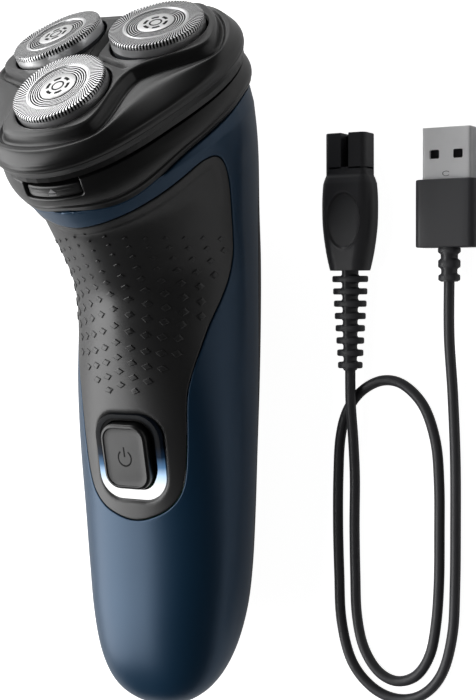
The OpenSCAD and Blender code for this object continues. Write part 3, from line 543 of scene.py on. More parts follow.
@dataclass(frozen=True)
class Finish:
    """A moulded, painted or metal surface whose colour, gloss and grain vary a little."""

    name: str
    colour: tuple[int, int, int]
    metallic: float = 0.0
    rough: float = 0.4
    rough_spread: float = 0.05
    coat: float = 0.0
    coat_rough: float = 0.12
    specular: float = 0.5
    mottle: float = 0.08
    mottle_size: float = 14.0
    grain: float = 0.0
    grain_size: float = 0.25

    @cache
    def material(self) -> bpy.types.Material:
        """Builds the material once and gives the same one back after that.

        A broad noise runs the base colour from one less the mottle to one plus it and moves the
        roughness by its spread; a fine noise is a bump as high as the grain.

        Returns:
            The material.
        """
        material = bpy.data.materials.new(self.name)
        material.use_nodes = True
        nodes, links = material.node_tree.nodes, material.node_tree.links
        shader = nodes["Principled BSDF"]
        place = nodes.new("ShaderNodeTexCoord").outputs["Object"]
        broad = added(nodes, "ShaderNodeTexNoise", Scale=1 / (self.mottle_size * MM), Detail=3)
        links.new(place, broad.inputs["Vector"])
        tint = nodes.new("ShaderNodeMix")
        tint.data_type = "RGBA"
        base = np.array(linear(self.colour)[:3])
        colour_a, colour_b, colour_result = tint.inputs[6], tint.inputs[7], tint.outputs[2]
        for socket, level in ((colour_a, 1 - self.mottle), (colour_b, 1 + self.mottle)):
            socket.default_value = (*np.minimum(base * level, 1), 1)
        links.new(broad.outputs["Fac"], tint.inputs[0])
        links.new(colour_result, shader.inputs["Base Color"])
        gloss = added(nodes, "ShaderNodeMapRange", To_Min=max(self.rough - self.rough_spread, 0.02),
                      To_Max=self.rough + self.rough_spread)
        links.new(broad.outputs["Fac"], gloss.inputs["Value"])
        links.new(gloss.outputs["Result"], shader.inputs["Roughness"])
        shader.inputs["Metallic"].default_value = self.metallic
        shader.inputs["Specular IOR Level"].default_value = self.specular
        shader.inputs["Coat Weight"].default_value = self.coat
        shader.inputs["Coat Roughness"].default_value = self.coat_rough
        if self.grain > 0:
            fine = added(nodes, "ShaderNodeTexNoise", Scale=1 / (self.grain_size * MM), Detail=2)
            links.new(place, fine.inputs["Vector"])
            bump = added(nodes, "ShaderNodeBump", Strength=1.0, Distance=self.grain * MM)
            links.new(fine.outputs["Fac"], bump.inputs["Height"])
            links.new(bump.outputs["Normal"], shader.inputs["Normal"])
        self.extra(nodes, links, shader, place)
        return material

    def extra(self, nodes: bpy.types.Nodes, links: bpy.types.NodeLinks, shader: bpy.types.Node,
              place: bpy.types.NodeSocket) -> None:
        """Room for what a finish adds; a plain finish adds nothing."""


@dataclass(frozen=True)
class GlowFinish(Finish):
    """A light guide that is lit from the foot end and fades towards the head."""

    dark_y: float = -19.5
    lit_y: float = -29.5
    strength: float = 1.15

    def extra(self, nodes: bpy.types.Nodes, links: bpy.types.NodeLinks, shader: bpy.types.Node,
              place: bpy.types.NodeSocket) -> None:
        """Adds a glow that follows the length of the handle, dark blue to white.

        Args:
            nodes: the material's nodes.
            links: the material's links.
            shader: the main shader.
            place: the Object coordinates.
        """
        split = nodes.new("ShaderNodeSeparateXYZ")
        links.new(place, split.inputs["Vector"])
        share = added(nodes, "ShaderNodeMapRange", From_Min=self.dark_y * MM, From_Max=self.lit_y * MM)
        links.new(split.outputs["Y"], share.inputs["Value"])
        ramp = nodes.new("ShaderNodeValToRGB")
        stops = ramp.color_ramp
        stops.elements[0].color = linear((2, 4, 8))
        stops.elements[1].color = linear((255, 255, 255))
        for at, colour in ((0.25, (14, 30, 48)), (0.5, (82, 118, 156)), (0.7, (188, 218, 246))):
            stops.elements.new(at).color = linear(colour)
        links.new(share.outputs["Result"], ramp.inputs["Fac"])
        links.new(ramp.outputs["Color"], shader.inputs["Emission Color"])
        shader.inputs["Emission Strength"].default_value = self.strength


PAINT = Finish("blue_lacquer", (3, 58, 90), metallic=0.36, rough=0.38, coat=0.15, coat_rough=0.3,
               specular=0.78, mottle=0.03, mottle_size=30, grain=0.002, grain_size=0.12)
BACK = Finish("warm_grey_plastic", (66, 63, 62), rough=0.46, grain=0.012, grain_size=0.3)
RUBBER = Finish("soft_grip", (27, 27, 28), rough=0.43, specular=0.9, grain=0.008, grain_size=0.18)
SATIN = Finish("satin_plastic", (18, 18, 19), rough=0.33, specular=0.7, grain=0.006, grain_size=0.2)
# Painted shade: a deep black laid where only shade falls, in the release pocket, the plug's slot, the ring's
# inner band and the cap plates' openings.
SHADE = Finish("painted_shade_black", (6, 6, 7), rough=0.6, specular=0.2)
GLOW = GlowFinish("ring_glow", (6, 7, 9), rough=0.5, specular=0.2)
PRINT = Finish("pale_print", (150, 150, 152), rough=0.5, mottle=0.04)
# Painted shade for the power mark's engraved lines.
GROOVE_SHADE = Finish("painted_groove_shade", (8, 8, 9), rough=0.6, specular=0.2)
INNER = Finish("inner_moulding", (70, 72, 76), rough=0.45, grain=0.01)
BOARD = Finish("board_lacquer", (22, 84, 46), rough=0.35, mottle=0.25, mottle_size=3, coat=0.4)
WRAP = Finish("battery_film", (72, 112, 150), rough=0.3, coat=0.5, mottle=0.05)
BRASS = Finish("bare_brass", (206, 178, 104), metallic=1.0, rough=0.25, mottle=0.1, mottle_size=4)
WHITE = Finish("white_moulding", (206, 206, 204), rough=0.42, grain=0.008)
GEAR = Finish("gear_resin", (226, 224, 212), rough=0.38, grain=0.006)
CUTTER = Finish("blade_steel", (176, 177, 180), metallic=1.0, rough=0.3, mottle=0.1, mottle_size=3)
STEEL = Finish("polished_steel", (236, 236, 237), metallic=0.75, rough=0.3, rough_spread=0.04, mottle=0.08,
               mottle_size=5, grain=0.003, grain_size=0.15)
BRIGHT = Finish("bright_plate", (240, 240, 240), metallic=0.5, rough=0.35, mottle=0.04, mottle_size=4)
SLOT_SHADOW = Finish("slot_shadow", (5, 5, 6), rough=0.7, specular=0.1)
LEAD = Finish("lead_plastic", (72, 72, 75), rough=0.42, grain=0.01, grain_size=0.3)
SHELL_METAL = Finish("plated_steel", (243, 243, 244), metallic=0.12, rough=0.3, mottle=0.06, mottle_size=5)


# ---------------------------------------------------------------- the handle's form
@dataclass
class HandleForm:
    """The curved body of the handle: superellipse sections along a leaning, bowed line."""

    width: float = 45.6
    depth: float = 38.4
    foot_y: float = -84.14
    length: float = 140.52
    rows: Array = field(default_factory=lambda: np.array([
        [0.000, 0.531, 22, 0.0000, 0.011, 0.013, 0.013, 2.20, 2.2],
        [0.006, 0.531, 22, 0.0000, 0.164, 0.146, 0.169, 2.20, 2.2],
        [0.024, 0.531, 20, 0.0000, 0.268, 0.234, 0.271, 2.30, 2.0],
        [0.052, 0.529, 17, 0.0000, 0.342, 0.297, 0.370, 2.40, 2.0],
        [0.095, 0.523, 12, 0.0000, 0.397, 0.352, 0.456, 2.40, 2.0],
        [0.156, 0.518, 7, 0.0000, 0.434, 0.383, 0.508, 2.40, 2.1],
        [0.234, 0.513, 3, 0.0000, 0.461, 0.393, 0.522, 2.40, 2.1],
        [0.334, 0.510, 0, 0.0000, 0.480, 0.424, 0.519, 2.40, 2.1],
        [0.448, 0.513, 0, 0.0000, 0.496, 0.484, 0.522, 2.30, 2.1],
        [0.562, 0.516, 2, 0.0000, 0.500, 0.557, 0.525, 2.10, 2.3],
        [0.676, 0.521, 8, 0.0010, 0.500, 0.620, 0.533, 1.80, 2.5],
        [0.761, 0.573, 14, 0.0030, 0.515, 0.612, 0.589, 1.70, 2.5],
        [0.839, 0.664, 20, 0.0045, 0.544, 0.651, 0.638, 1.75, 2.5],
        [0.918, 0.794, 26, 0.0055, 0.601, 0.690, 0.708, 1.75, 2.4],
        [0.960, 0.880, 29.4, 0.0059, 0.640, 0.740, 0.732, 1.75, 2.3],
        [1.000, 0.964, 31.4, 0.0063, 0.671, 0.781, 0.745, 1.75, 2.2]]))
    neck_rise: float = 3.6
    neck_dip: float = 1.15
    neck_lean: float = 30.0

    @property
    def last(self) -> int:
        """Number of the row at the neck."""
        return len(self.rows) - 1

    def neck_shift(self, angle: Array) -> Array:
        """How far the neck's end moves along its lean: a rise to the sides with a shallow dip between.

        Args:
            angle: angles round the handle, with the front at 90 degrees.

        Returns:
            The distances in millimetres.
        """
        f = np.abs((angle + 450) % 360 - 180)
        rise = self.neck_rise * (1 - np.cos(np.radians(np.minimum(f, 100))))
        return rise - np.where(f < 60, self.neck_dip * (1 - np.cos(np.radians(6 * f))), 0)

    def place(self, values: Array, inset: Array | float = 0.0) -> Array:
        """Puts surface measures in space.

        A row's section has half width a and depth b and is the superellipse with x as a times the
        cosine and v as b times the sine, each raised to 2 over the roundness. The section leans, and
        bows back by v squared. Past the last row the surface runs on along the neck's own lean.

        Args:
            values: rows of row number and angle, with the front at 90 degrees.
            inset: how far inside the surface, in millimetres.

        Returns:
            Places in millimetres.
        """
        s, angle = values[:, 0], values[:, 1]
        r = through(self.rows, np.clip(s, 0, self.last))
        cos, sin = np.cos(np.radians(angle)), np.sin(np.radians(angle))
        front = sin > 0
        power = 2 / np.where(front, r[:, 7], r[:, 8]) - 1
        half = np.maximum(r[:, 4] * self.width - inset, 0.1)
        deep = np.maximum(np.where(front, r[:, 5], r[:, 6]) * self.depth - inset, 0.1)
        x = half * cos * (cos ** 2 + 0.003) ** (power / 2)
        v = deep * sin * (sin ** 2 + 1e-6) ** (power / 2)
        lean = np.radians(r[:, 2])
        y = self.foot_y + r[:, 0] * self.length - v * np.sin(lean) - r[:, 3] * v * v
        z = r[:, 1] * self.depth + v * np.cos(lean)
        on = np.clip(s - self.last, -1, 1) * (s > self.last) * self.neck_shift(angle)
        past_y, past_z = turned(on, np.zeros_like(on), self.neck_lean)
        return np.stack([x, y + past_y, np.maximum(z + past_z, 0)], 1)


@dataclass
class Frames:
    """The sub-assemblies' own frames: the leaning head, its caps and the power button."""

    head_lean: float = 40.0
    head_y: float = 73.38
    head_z: float = 52.992
    cap_angles: tuple[float, float, float] = (-90.0, 30.0, 150.0)
    cap_ring: float = 16.1
    cap_tilt: float = 6.5
    button_y: float = -22.311
    button_z: float = 39.1
    button_slope: float = 12.0

    def head(self, x: Array, v: Array, w: Array) -> Array:
        """Places in space from the head's own frame.

        Args:
            x: distance across.
            v: distance away from the front.
            w: distance out of the caps.

        Returns:
            The places, with their coordinates along the last axis.
        """
        x, v, w = np.broadcast_arrays(x, v, w)
        y, z = turned(w, -v, self.head_lean)
        return np.stack([x, self.head_y + y, self.head_z + z], -1)

    def to_head(self, points: Array) -> tuple[Array, Array, Array]:
        """Places in the head's own frame, from rows of places in space: x, v and w."""
        w, front = turned(points[:, 1] - self.head_y, points[:, 2] - self.head_z, -self.head_lean)
        return points[:, 0], -front, w

    def cap(self, number: int, points: Array) -> Array:
        """Places in space from the frame of a cap.

        Args:
            number: the cap, from 0 to 2.
            points: places whose third coordinate runs along the cap's axis.

        Returns:
            The places in space.
        """
        w, x = turned(points[..., 2], points[..., 0], self.cap_tilt)
        return self.head(*turned(x + self.cap_ring, points[..., 1], self.cap_angles[number]), w)

    def from_cap_axis(self, number: int, points: Array) -> tuple[Array, Array]:
        """Measures places against a cap's axis.

        Args:
            number: the cap, from 0 to 2.
            points: rows of places in space.

        Returns:
            Their distance from the axis and their height along it.
        """
        middle, top = self.cap(number, np.array([[0.0, 0, 0], [0, 0, 1]]))
        height = (points - middle) @ (top - middle)
        return np.linalg.norm(points - middle - height[:, None] * (top - middle), axis=1), height

    def button(self, points: Array) -> Array:
        """Places in space from the frame of the power button."""
        y, z = turned(points[..., 1], points[..., 2], self.button_slope)
        return np.stack([points[..., 0], self.button_y + y, self.button_z + z], -1)

    def to_button(self, points: Array) -> Array:
        """Places in the frame of the power button, from places in space."""
        y, z = points[:, 1] - self.button_y, points[:, 2] - self.button_z
        return np.stack([points[:, 0], *turned(y, z, -self.button_slope)], 1)


FORM = HandleForm()
FRAMES = Frames()


# ---------------------------------------------------------------- handle shells and grip
@dataclass
class GripOutline:
    """The border of the soft grip, as rows and half angles on the handle, with softened corners."""

    rows: tuple[float, ...] = (6.95, 7.02, 7.1, 7.25, 7.44, 7.7, 7.96, 8.3, 8.66, 8.96, 9.3, 9.64, 10.05,
                               10.46, 10.94, 11.45, 11.95, 12.45, 12.96, 13.4, 13.7, 13.9)
    angles: tuple[float, ...] = (3, 10, 18, 26, 32, 35, 36.5, 38, 39.5, 41, 46, 52, 58, 65, 72, 77, 78,
                                 77, 75, 73, 69, 61)
    lift: float = 0.73
    lift_from: float = 12.0
    soften: float = 1.6
    points: int = 300

    def __post_init__(self) -> None:
        """Works out the border on the surface and in space."""
        rows, angles = np.array(self.rows), np.array(self.angles, float)
        share = np.maximum(0, (rows - self.lift_from) / (rows[-1] - self.lift_from))
        side = rows + self.lift * (angles / 65) ** 2 * share
        across = np.linspace(angles[-1], -angles[-1], 25)[1:-1]
        top = rows[-1] + self.lift * (across / 65) ** 2
        chain = np.vstack([np.stack([side, 90 - angles], 1),
                           np.stack([top, 90 - across], 1),
                           np.stack([side, 90 + angles], 1)[::-1]])
        closed = np.vstack([chain, chain[:1]])
        along = run_length(FORM.place(closed))
        at = np.linspace(0, along[-1], self.points, endpoint=False)
        even = np.stack([np.interp(at, along, closed[:, k]) for k in (0, 1)], 1)
        weights = bell(12, self.soften / (along[-1] / self.points))
        self.chain = sum(w * np.roll(even, k, 0) for k, w in enumerate(weights, -12))
        self.line = FORM.place(self.chain)

    def distance(self, values: Array) -> Array:
        """Distance from the border, positive on the grip, for row numbers and angles."""
        gap = distance_to_loop(FORM.place(values), self.line)
        return np.where(inside_loop(values, self.chain), gap, -gap)


@dataclass
class Handle:
    """The two shells of the handle with the soft grip between the collar and the button."""

    wall: float = 1.2
    seam_gap: float = 0.2
    seam_z: float = 12.5
    neck_gap: float = 0.02
    grip_gap: float = 0.22
    grip_t: float = 1.2
    grip_rows: tuple[float, float] = (6.85, 14.9)
    well_shift: float = -0.3
    band_from: float = 12.4
    band_edge: float = 2.3
    band_sunk: float = 0.22
    lip_depth: float = 0.5
    lip_width: float = 1.1
    lip_wall: float = 0.9
    inlet: tuple[float, float, float] = (14.2, 10.0, 2.1)
    inlet_z: float = 20.352
    inlet_reach: float = 12.0
    step: float = 0.62
    roll: float = 0.3
    outline: GripOutline = field(default_factory=GripOutline)

    def seam(self, y: Array) -> Array:
        """Height of the seam between the shells, rising towards the collar: a smoothed chain.

        Args:
            y: places along the handle.

        Returns:
            The heights.
        """
        knots = np.array([FORM.foot_y - 9, 11.4, 31.4, 44.4, 56.4, 80])
        heights = self.seam_z + np.array([0, 0, 2, 5, 8, 9.0])
        fine = np.linspace(knots[0], knots[-1], 240)
        padded = np.pad(np.interp(fine, knots, heights), 20, mode="edge")
        return np.interp(y, fine, np.convolve(padded, bell(20, 7.0), mode="valid"))

    def inlet_distance(self, place: Array) -> Array:
        """Distance outside the charging inlet's opening, large away from the foot."""
        near = rounded_distance(place[:, 0], place[:, 2] - self.inlet_z, *self.inlet)
        return np.where(place[:, 1] < FORM.foot_y + self.inlet_reach, near, FAR)

    def neck_distance(self, values: Array) -> Array:
        """Distance below the shells' end at the collar.

        Args:
            values: rows of row number and angle.

        Returns:
            The distance of each, large away from the neck.
        """
        turns = np.linspace(-90, 270, 240, endpoint=False)
        ring = FORM.place(np.stack([np.full(240, FORM.last + 1.0), turns], 1))
        near = values[:, 0] > FORM.last - 1
        out = np.full(len(values), FAR)
        if near.any():
            out[near] = distance_to_loop(FORM.place(values[near]), ring)
        return out

    def rows(self, first: float, last: float) -> Array:
        """Row numbers about a step apart along the handle's side.

        Args:
            first: the first row.
            last: the last row.

        Returns:
            The row numbers.
        """
        fine = np.linspace(first, last, 1500)
        along = run_length(FORM.place(np.stack([fine, np.full(1500, 20.0)], 1)))
        return np.interp(np.linspace(0, along[-1], int(along[-1] / self.step)), along, fine)

    def shell(self, front: bool, turns: Array) -> Shape:
        """One shell of the handle, open for the inlet.

        Args:
            front: True for the front shell, which is open for the grip too.
            turns: angles across the shell.

        Returns:
            The closed sheet.
        """
        side = 1 if front else -1

        def border(values: Array) -> Array:
            """Distance inside the seam, the inlet, the neck and the grip.

            Args:
                values: rows of row number and angle.

            Returns:
                The least of the distances at each row.
            """
            place = FORM.place(values)
            gaps = [side * (place[:, 2] - self.seam(place[:, 1])) - self.seam_gap / 2,
                    self.inlet_distance(place), self.neck_distance(values) - self.neck_gap]
            if front:
                gaps.append(-self.outline.distance(values) - self.grip_gap / 2)
            return np.minimum.reduce(gaps)

        rows = np.concatenate([self.rows(0, FORM.last), FORM.last + np.linspace(0.2, 1, 5)])
        patch = Patch.grid(rows, turns).trimmed(border, self.roll)
        outer = FORM.place(patch.values, rolled(border(patch.values), self.roll))
        return thick(outer, FORM.place(patch.values, self.wall), patch.tris)

    def well(self, values: Array) -> Array:
        """Distance outside the grip's opening round the button, for row numbers and angles."""
        x, y, z = FRAMES.to_button(FORM.place(values)).T
        return np.where(z > -9, rounded_distance(x, y - self.well_shift, *BUTTON_WELL), FAR)

    def grip_border(self, values: Array) -> Array:
        """Distance inside the grip's outline and outside its well."""
        return np.minimum(self.outline.distance(values) - self.grip_gap / 2, self.well(values))

    def grip(self) -> Shape:
        """The soft grip: a smooth band stays raised along its top, and a lip sinks round the well.

        Returns:
            The closed sheet.
        """
        patch = Patch.grid(self.rows(*self.grip_rows), np.linspace(8, 172, 150))
        patch = patch.trimmed(self.grip_border, self.roll)
        edge, hole = self.grip_border(patch.values), self.well(patch.values)
        below = np.clip((patch.values[:, 0] - self.band_from) / 0.8, 0, 1)
        sunk = self.band_sunk * ease((edge - self.band_edge) / 0.7) * ease(below)
        lip = self.lip_depth * (1 - ease(hole / self.lip_width)) ** 2
        outer = FORM.place(patch.values, rolled(edge, self.roll) + sunk + lip)
        wall = self.grip_t + np.where(hole < 1.5, self.lip_wall, 0)
        return thick(outer, FORM.place(patch.values, wall), patch.tris)

    def build(self) -> None:
        """Makes the shells and the grip."""
        front = self.shell(True, np.linspace(-48, 228, 190))
        piece("shell_front", front, PAINT, Body.ROOT, ["front_shell"])
        back = self.shell(False, np.linspace(-196, 16, 150))
        piece("shell_back", back, BACK, Body.ROOT, ["back_cover"])
        piece("grip_skin", self.grip(), RUBBER, Body.ROOT, ["front_grip"])
        GripPattern().build(self.outline)


@dataclass
class GripPattern:
    """Low raised lozenges on the soft grip, in arched rows that grow towards the button."""

    rows: tuple[float, ...] = (3.2, 5.6, 8.3, 11.2, 14.2, 17.2, 20.4, 24.0, 28.0, 32.0, 35.6, 39.1, 42.4)
    top_row: float = 14.0
    pitch: tuple[float, float] = (4.3, 3.65)
    size: tuple[float, float] = (1.4, 0.88)
    height: float = 0.25
    border: float = 2.6
    well_gap: float = 1.3
    level_from: float = 18.0
    level_over: float = 15.0
    slope: float = 0.38
    arch: float = 4.0
    arch_reach: float = 8.3
    smallest: float = 0.34
    grow_from: float = 2.0
    grow_over: float = 26.0
    end_down: tuple[float, ...] = (30, 36, 40, 45)
    end_across: tuple[float, ...] = (40, 15.5, 11.5, 4.5)
    columns: int = 8

    def spots(self) -> tuple[Array, Array]:
        """Places the lozenges in rows and columns.

        Rows are arches: the drop from the middle is a share of the distance across, straight near the
        top and levelling off near the button. Columns keep a nearly constant distance apart.

        Returns:
            The distance of each lozenge down the grip, and its place across it.
        """
        columns = np.arange(-self.columns, self.columns + 1)
        start, column = np.meshgrid(np.array(self.rows), columns, indexing="ij")
        low = ease((start - self.level_from) / self.level_over)
        across = column * (self.pitch[0] * (1 - low) + self.pitch[1] * low)
        far = np.abs(across)
        drop = self.slope * far * (1 - low) + self.arch * (1 - np.exp(-far / self.arch_reach)) * low
        return (start + drop).ravel(), across.ravel()

    def on_grip(self, down: Array, across: Array) -> Array:
        """Finds places on the handle's surface by measuring along it and round it.

        Args:
            down: distances down the grip from its top row.
            across: distances round the handle from its middle.

        Returns:
            Rows of row number and angle.
        """
        fine = np.linspace(5, 15, 1201)
        along = run_length(FORM.place(np.stack([fine, np.full(1201, 90.0)], 1)))
        along = np.interp(self.top_row, fine, along) - along
        row = np.interp(down, along[::-1], fine[::-1])
        sweep = np.linspace(-85, 85, 341)
        grid = np.stack(np.meshgrid(row, 90 - sweep, indexing="ij"), -1)
        place = FORM.place(grid.reshape(-1, 2)).reshape(len(row), len(sweep), 3)
        step = np.linalg.norm(np.diff(place, axis=1), axis=2)
        arc = np.concatenate([np.zeros((len(row), 1)), np.cumsum(step, 1)], 1)
        arc -= arc[:, [len(sweep) // 2]]
        at = (arc < across[:, None]).sum(1).clip(1, len(sweep) - 1)
        pick = np.arange(len(row))
        share = (across - arc[pick, at - 1]) / np.maximum(arc[pick, at] - arc[pick, at - 1], 1e-9)
        return np.stack([row, 90 - (sweep[at - 1] + share * (sweep[1] - sweep[0]))], 1)

    def build(self, outline: GripOutline) -> None:
        """Makes all the lozenges as one mesh, leaving the border and the button's surround plain.

        Args:
            outline: the border of the grip.
        """
        down, across = self.spots()
        values = self.on_grip(down, across)
        place = FRAMES.to_button(FORM.place(values))
        well = rounded_distance(place[:, 0], place[:, 1], *BUTTON_WELL)
        limit = np.interp(down, self.end_down, self.end_across)
        keep = (outline.distance(values) > self.border) & (well > self.well_gap) & (np.abs(across) < limit)
        down, across = down[keep], across[keep]
        grow = self.smallest + (1 - self.smallest) * ease((down - self.grow_from) / self.grow_over)
        lean = np.where(np.abs(across) < 1, 0.0, np.sign(across))
        wide, tall = self.size
        corners = np.array([[-1.0, -0.3], [0.22, -1.0], [1.0, 0.3], [-0.22, 1.0]])
        flat = np.array([[-1.0, 0.0], [0.0, -1.0], [1.0, 0.0], [0.0, 1.0]])
        shape = np.where(lean[:, None, None] == 0, flat[None], corners[None])
        shape[..., 0] *= np.where(lean == 0, 1.0, lean)[:, None]
        layers = []
        for scale, lift in ((1.0, -0.3), (0.94, self.height * 0.62), (0.72, self.height),
                            (0.3, self.height * 1.04)):
            c = across[:, None] + shape[..., 0] * wide * scale * grow[:, None]
            d = down[:, None] + shape[..., 1] * tall * scale * grow[:, None]
            at = self.on_grip(d.ravel(), c.ravel())
            high = lift * (0.45 + 0.55 * grow) if lift > 0 else np.full(len(grow), lift)
            layers.append(FORM.place(at, -np.repeat(high, 4)).reshape(-1, 4, 3))
        points = np.stack(layers, 1).reshape(-1, 3)
        ends = np.array([[0, 2, 1], [0, 3, 2], [12, 13, 14], [12, 14, 15]])
        one = np.vstack([between_rings(4, 4), ends])
        tris = (one[None] + 16 * np.arange(len(across))[:, None, None]).reshape(-1, 3)
        piece("grip_lozenges", (points, tris), RUBBER, Body.ROOT, sharp=24)


# ---------------------------------------------------------------- power button
@dataclass
class PowerKey:
    """The power button in its lit ring, with its rim and its mark."""

    width: float = 12.9
    length: float = 16.3
    middle: float = 0.3
    radius: float = 3.9
    proud: float = 0.9
    well: tuple[float, float, float] = (18.35, 21.35, 5.9)
    well_middle: float = -0.3
    ring_depth: float = 1.2
    ring_t: float = 1.4
    ring_gap: float = 0.4
    shade_band_share: float = 0.62
    lit_share: float = 0.06
    lit_length: float = 2.2
    fade_length: float = 4.0
    shade_band_from: int = 5
    mark_radii: tuple[float, float] = (1.62, 2.0)
    mark_arc: tuple[float, float] = (125, 415)
    bar_half: float = 0.2
    bar_ends: tuple[float, float] = (0.1, 2.6)

    def rings(self, profile: Sequence[tuple[float, float]]) -> Array:
        """Rounded outlines over the button's plane, a little crowned away from its border.

        Args:
            profile: how far each outline is drawn in, and its height.

        Returns:
            The rings in space.
        """
        out = []
        for inward, height in profile:
            loop = rounded_loop(self.width - 2 * inward, self.length - 2 * inward,
                                max(self.radius - inward, 0.4))
            crown = 0.05 * (1 - (loop[:, 1] / (self.length / 2)) ** 2)
            loop[:, 1] += self.middle
            out.append(np.column_stack([loop, np.full(len(loop), height) + crown * (inward > 0.2)]))
        return FRAMES.button(np.array(out))

    def key(self) -> None:
        """The button: a bevelled border round a slightly sunk face."""
        profile = ((0.0, -3.9), (0.0, -1.1), (0.02, -0.55), (0.08, -0.35), (0.3, -0.08), (0.55, 0.06),
                   (0.72, 0.1), (0.85, 0.1), (0.93, 0.04), (1.0, -0.12), (1.15, -0.15), (2.4, -0.15),
                   (3.6, -0.14), (5.2, -0.12))
        rings = self.rings([(inward, self.proud + height) for inward, height in profile])
        piece("power_key", loft(rings), SATIN, Body.POWER, ["power_button"], sharp=40)

    def mark(self) -> None:
        """The mark: an open circle with a bar engraved in the face, drawn as thin dark bands of painted
        shade.
        """
        turn = np.radians(np.linspace(*self.mark_arc, 49))
        top = self.proud - 0.12
        circle = [polar(r, turn, 0)[:, :2] * (1, 1.08) + (0, self.middle - 0.2) for r in self.mark_radii]
        bar = [np.array([[x, self.middle + y] for y in self.bar_ends])
               for x in (-self.bar_half, self.bar_half)]
        for name, (a, b) in (("power_mark_ring", circle), ("power_mark_bar", bar)):
            shape = loft(FRAMES.button(strip(a, b, top - 0.03, top + 0.055)))
            piece(name, shape, GROOVE_SHADE, Body.POWER)

    def ring(self) -> None:
        """The light guide round the button, gently crowned, with a deep black inner band of painted shade,
        standing for the shaded gap by the button, but at its foot.
        """
        inner = rounded_loop(self.width + 2 * self.ring_gap, self.length + 2 * self.ring_gap,
                             self.radius + self.ring_gap)
        inner[:, 1] += self.middle
        outer = rounded_loop(*self.well)
        outer[:, 1] += self.well_middle
        side = ease((inner[:, 1] + self.length / 2 - self.lit_length) / self.fade_length)[:, None]
        edge = outer + (inner - outer) * self.shade_band_share
        liner = edge * side + (inner + (outer - inner) * self.lit_share) * (1 - side)
        rows = [(inner, -self.ring_t), (outer, -self.ring_t), (outer, -0.14),
                (outer + (liner - outer) * 0.08, 0.0), (outer + (liner - outer) * 0.5, 0.05),
                (liner, 0.0), (liner + (inner - liner) * 0.06, -0.12), (inner, -0.2),
                (inner, -self.ring_t)]
        rings = FRAMES.button(np.array([np.column_stack([loop, np.full(len(loop), h - self.ring_depth)])
                                        for loop, h in rows]))
        count, n, _ = rings.shape
        band = np.tile(np.repeat(np.arange(count - 1), n), 2)
        # Faces from the shade band's first row inwards take the painted shade finish.
        piece("ring_guide", (rings.reshape(-1, 3), between_rings(count, n)), GLOW, Body.ROOT,
              ["light_ring"], second=SHADE, marks=band >= self.shade_band_from)

    def build(self) -> None:
        """Makes the button, its mark and the light ring."""
        self.key()
        self.mark()
        self.ring()


# ---------------------------------------------------------------- collar and release button
@dataclass
class TriForm:
    """The rounded triangle of the shaving unit's skirt and the collar's end."""

    share: float = 0.086
    middle_v: float = -1.0

    def ring(self, radius: Array, angle: Array, w: Array) -> Array:
        """Places round the triangle: the radius grows by a share of the cosine of three times the angle.

        Args:
            radius: mean radius.
            angle: angles round the head in degrees.
            w: height in the head's frame.

        Returns:
            The places in space.
        """
        t = np.radians(angle)
        r = radius * (1 + self.share * np.cos(3 * (t - np.pi / 2)))
        return FRAMES.head(r * np.cos(t), self.middle_v - r * np.sin(t), w)


TRI = TriForm()


def outward(points: Array) -> Array:
    """Unit normals of a closed band of rings, from the steps along and across it.

    Args:
        points: rings of places, the last point of each ring meeting the first.

    Returns:
        The normals, pointing away from the band's middle line.
    """
    along = np.gradient(points, axis=0)
    wrapped = np.concatenate([points[:, -2:-1], points, points[:, 1:2]], 1)
    across = (wrapped[:, 2:] - wrapped[:, :-2]) / 2
    normal = np.cross(along, across)
    normal /= np.maximum(np.linalg.norm(normal, axis=2, keepdims=True), 1e-9)
    middle = points.mean(1, keepdims=True)
    flip = np.einsum("ijk,ijk->", normal, points - middle) < 0
    return -normal if flip else normal


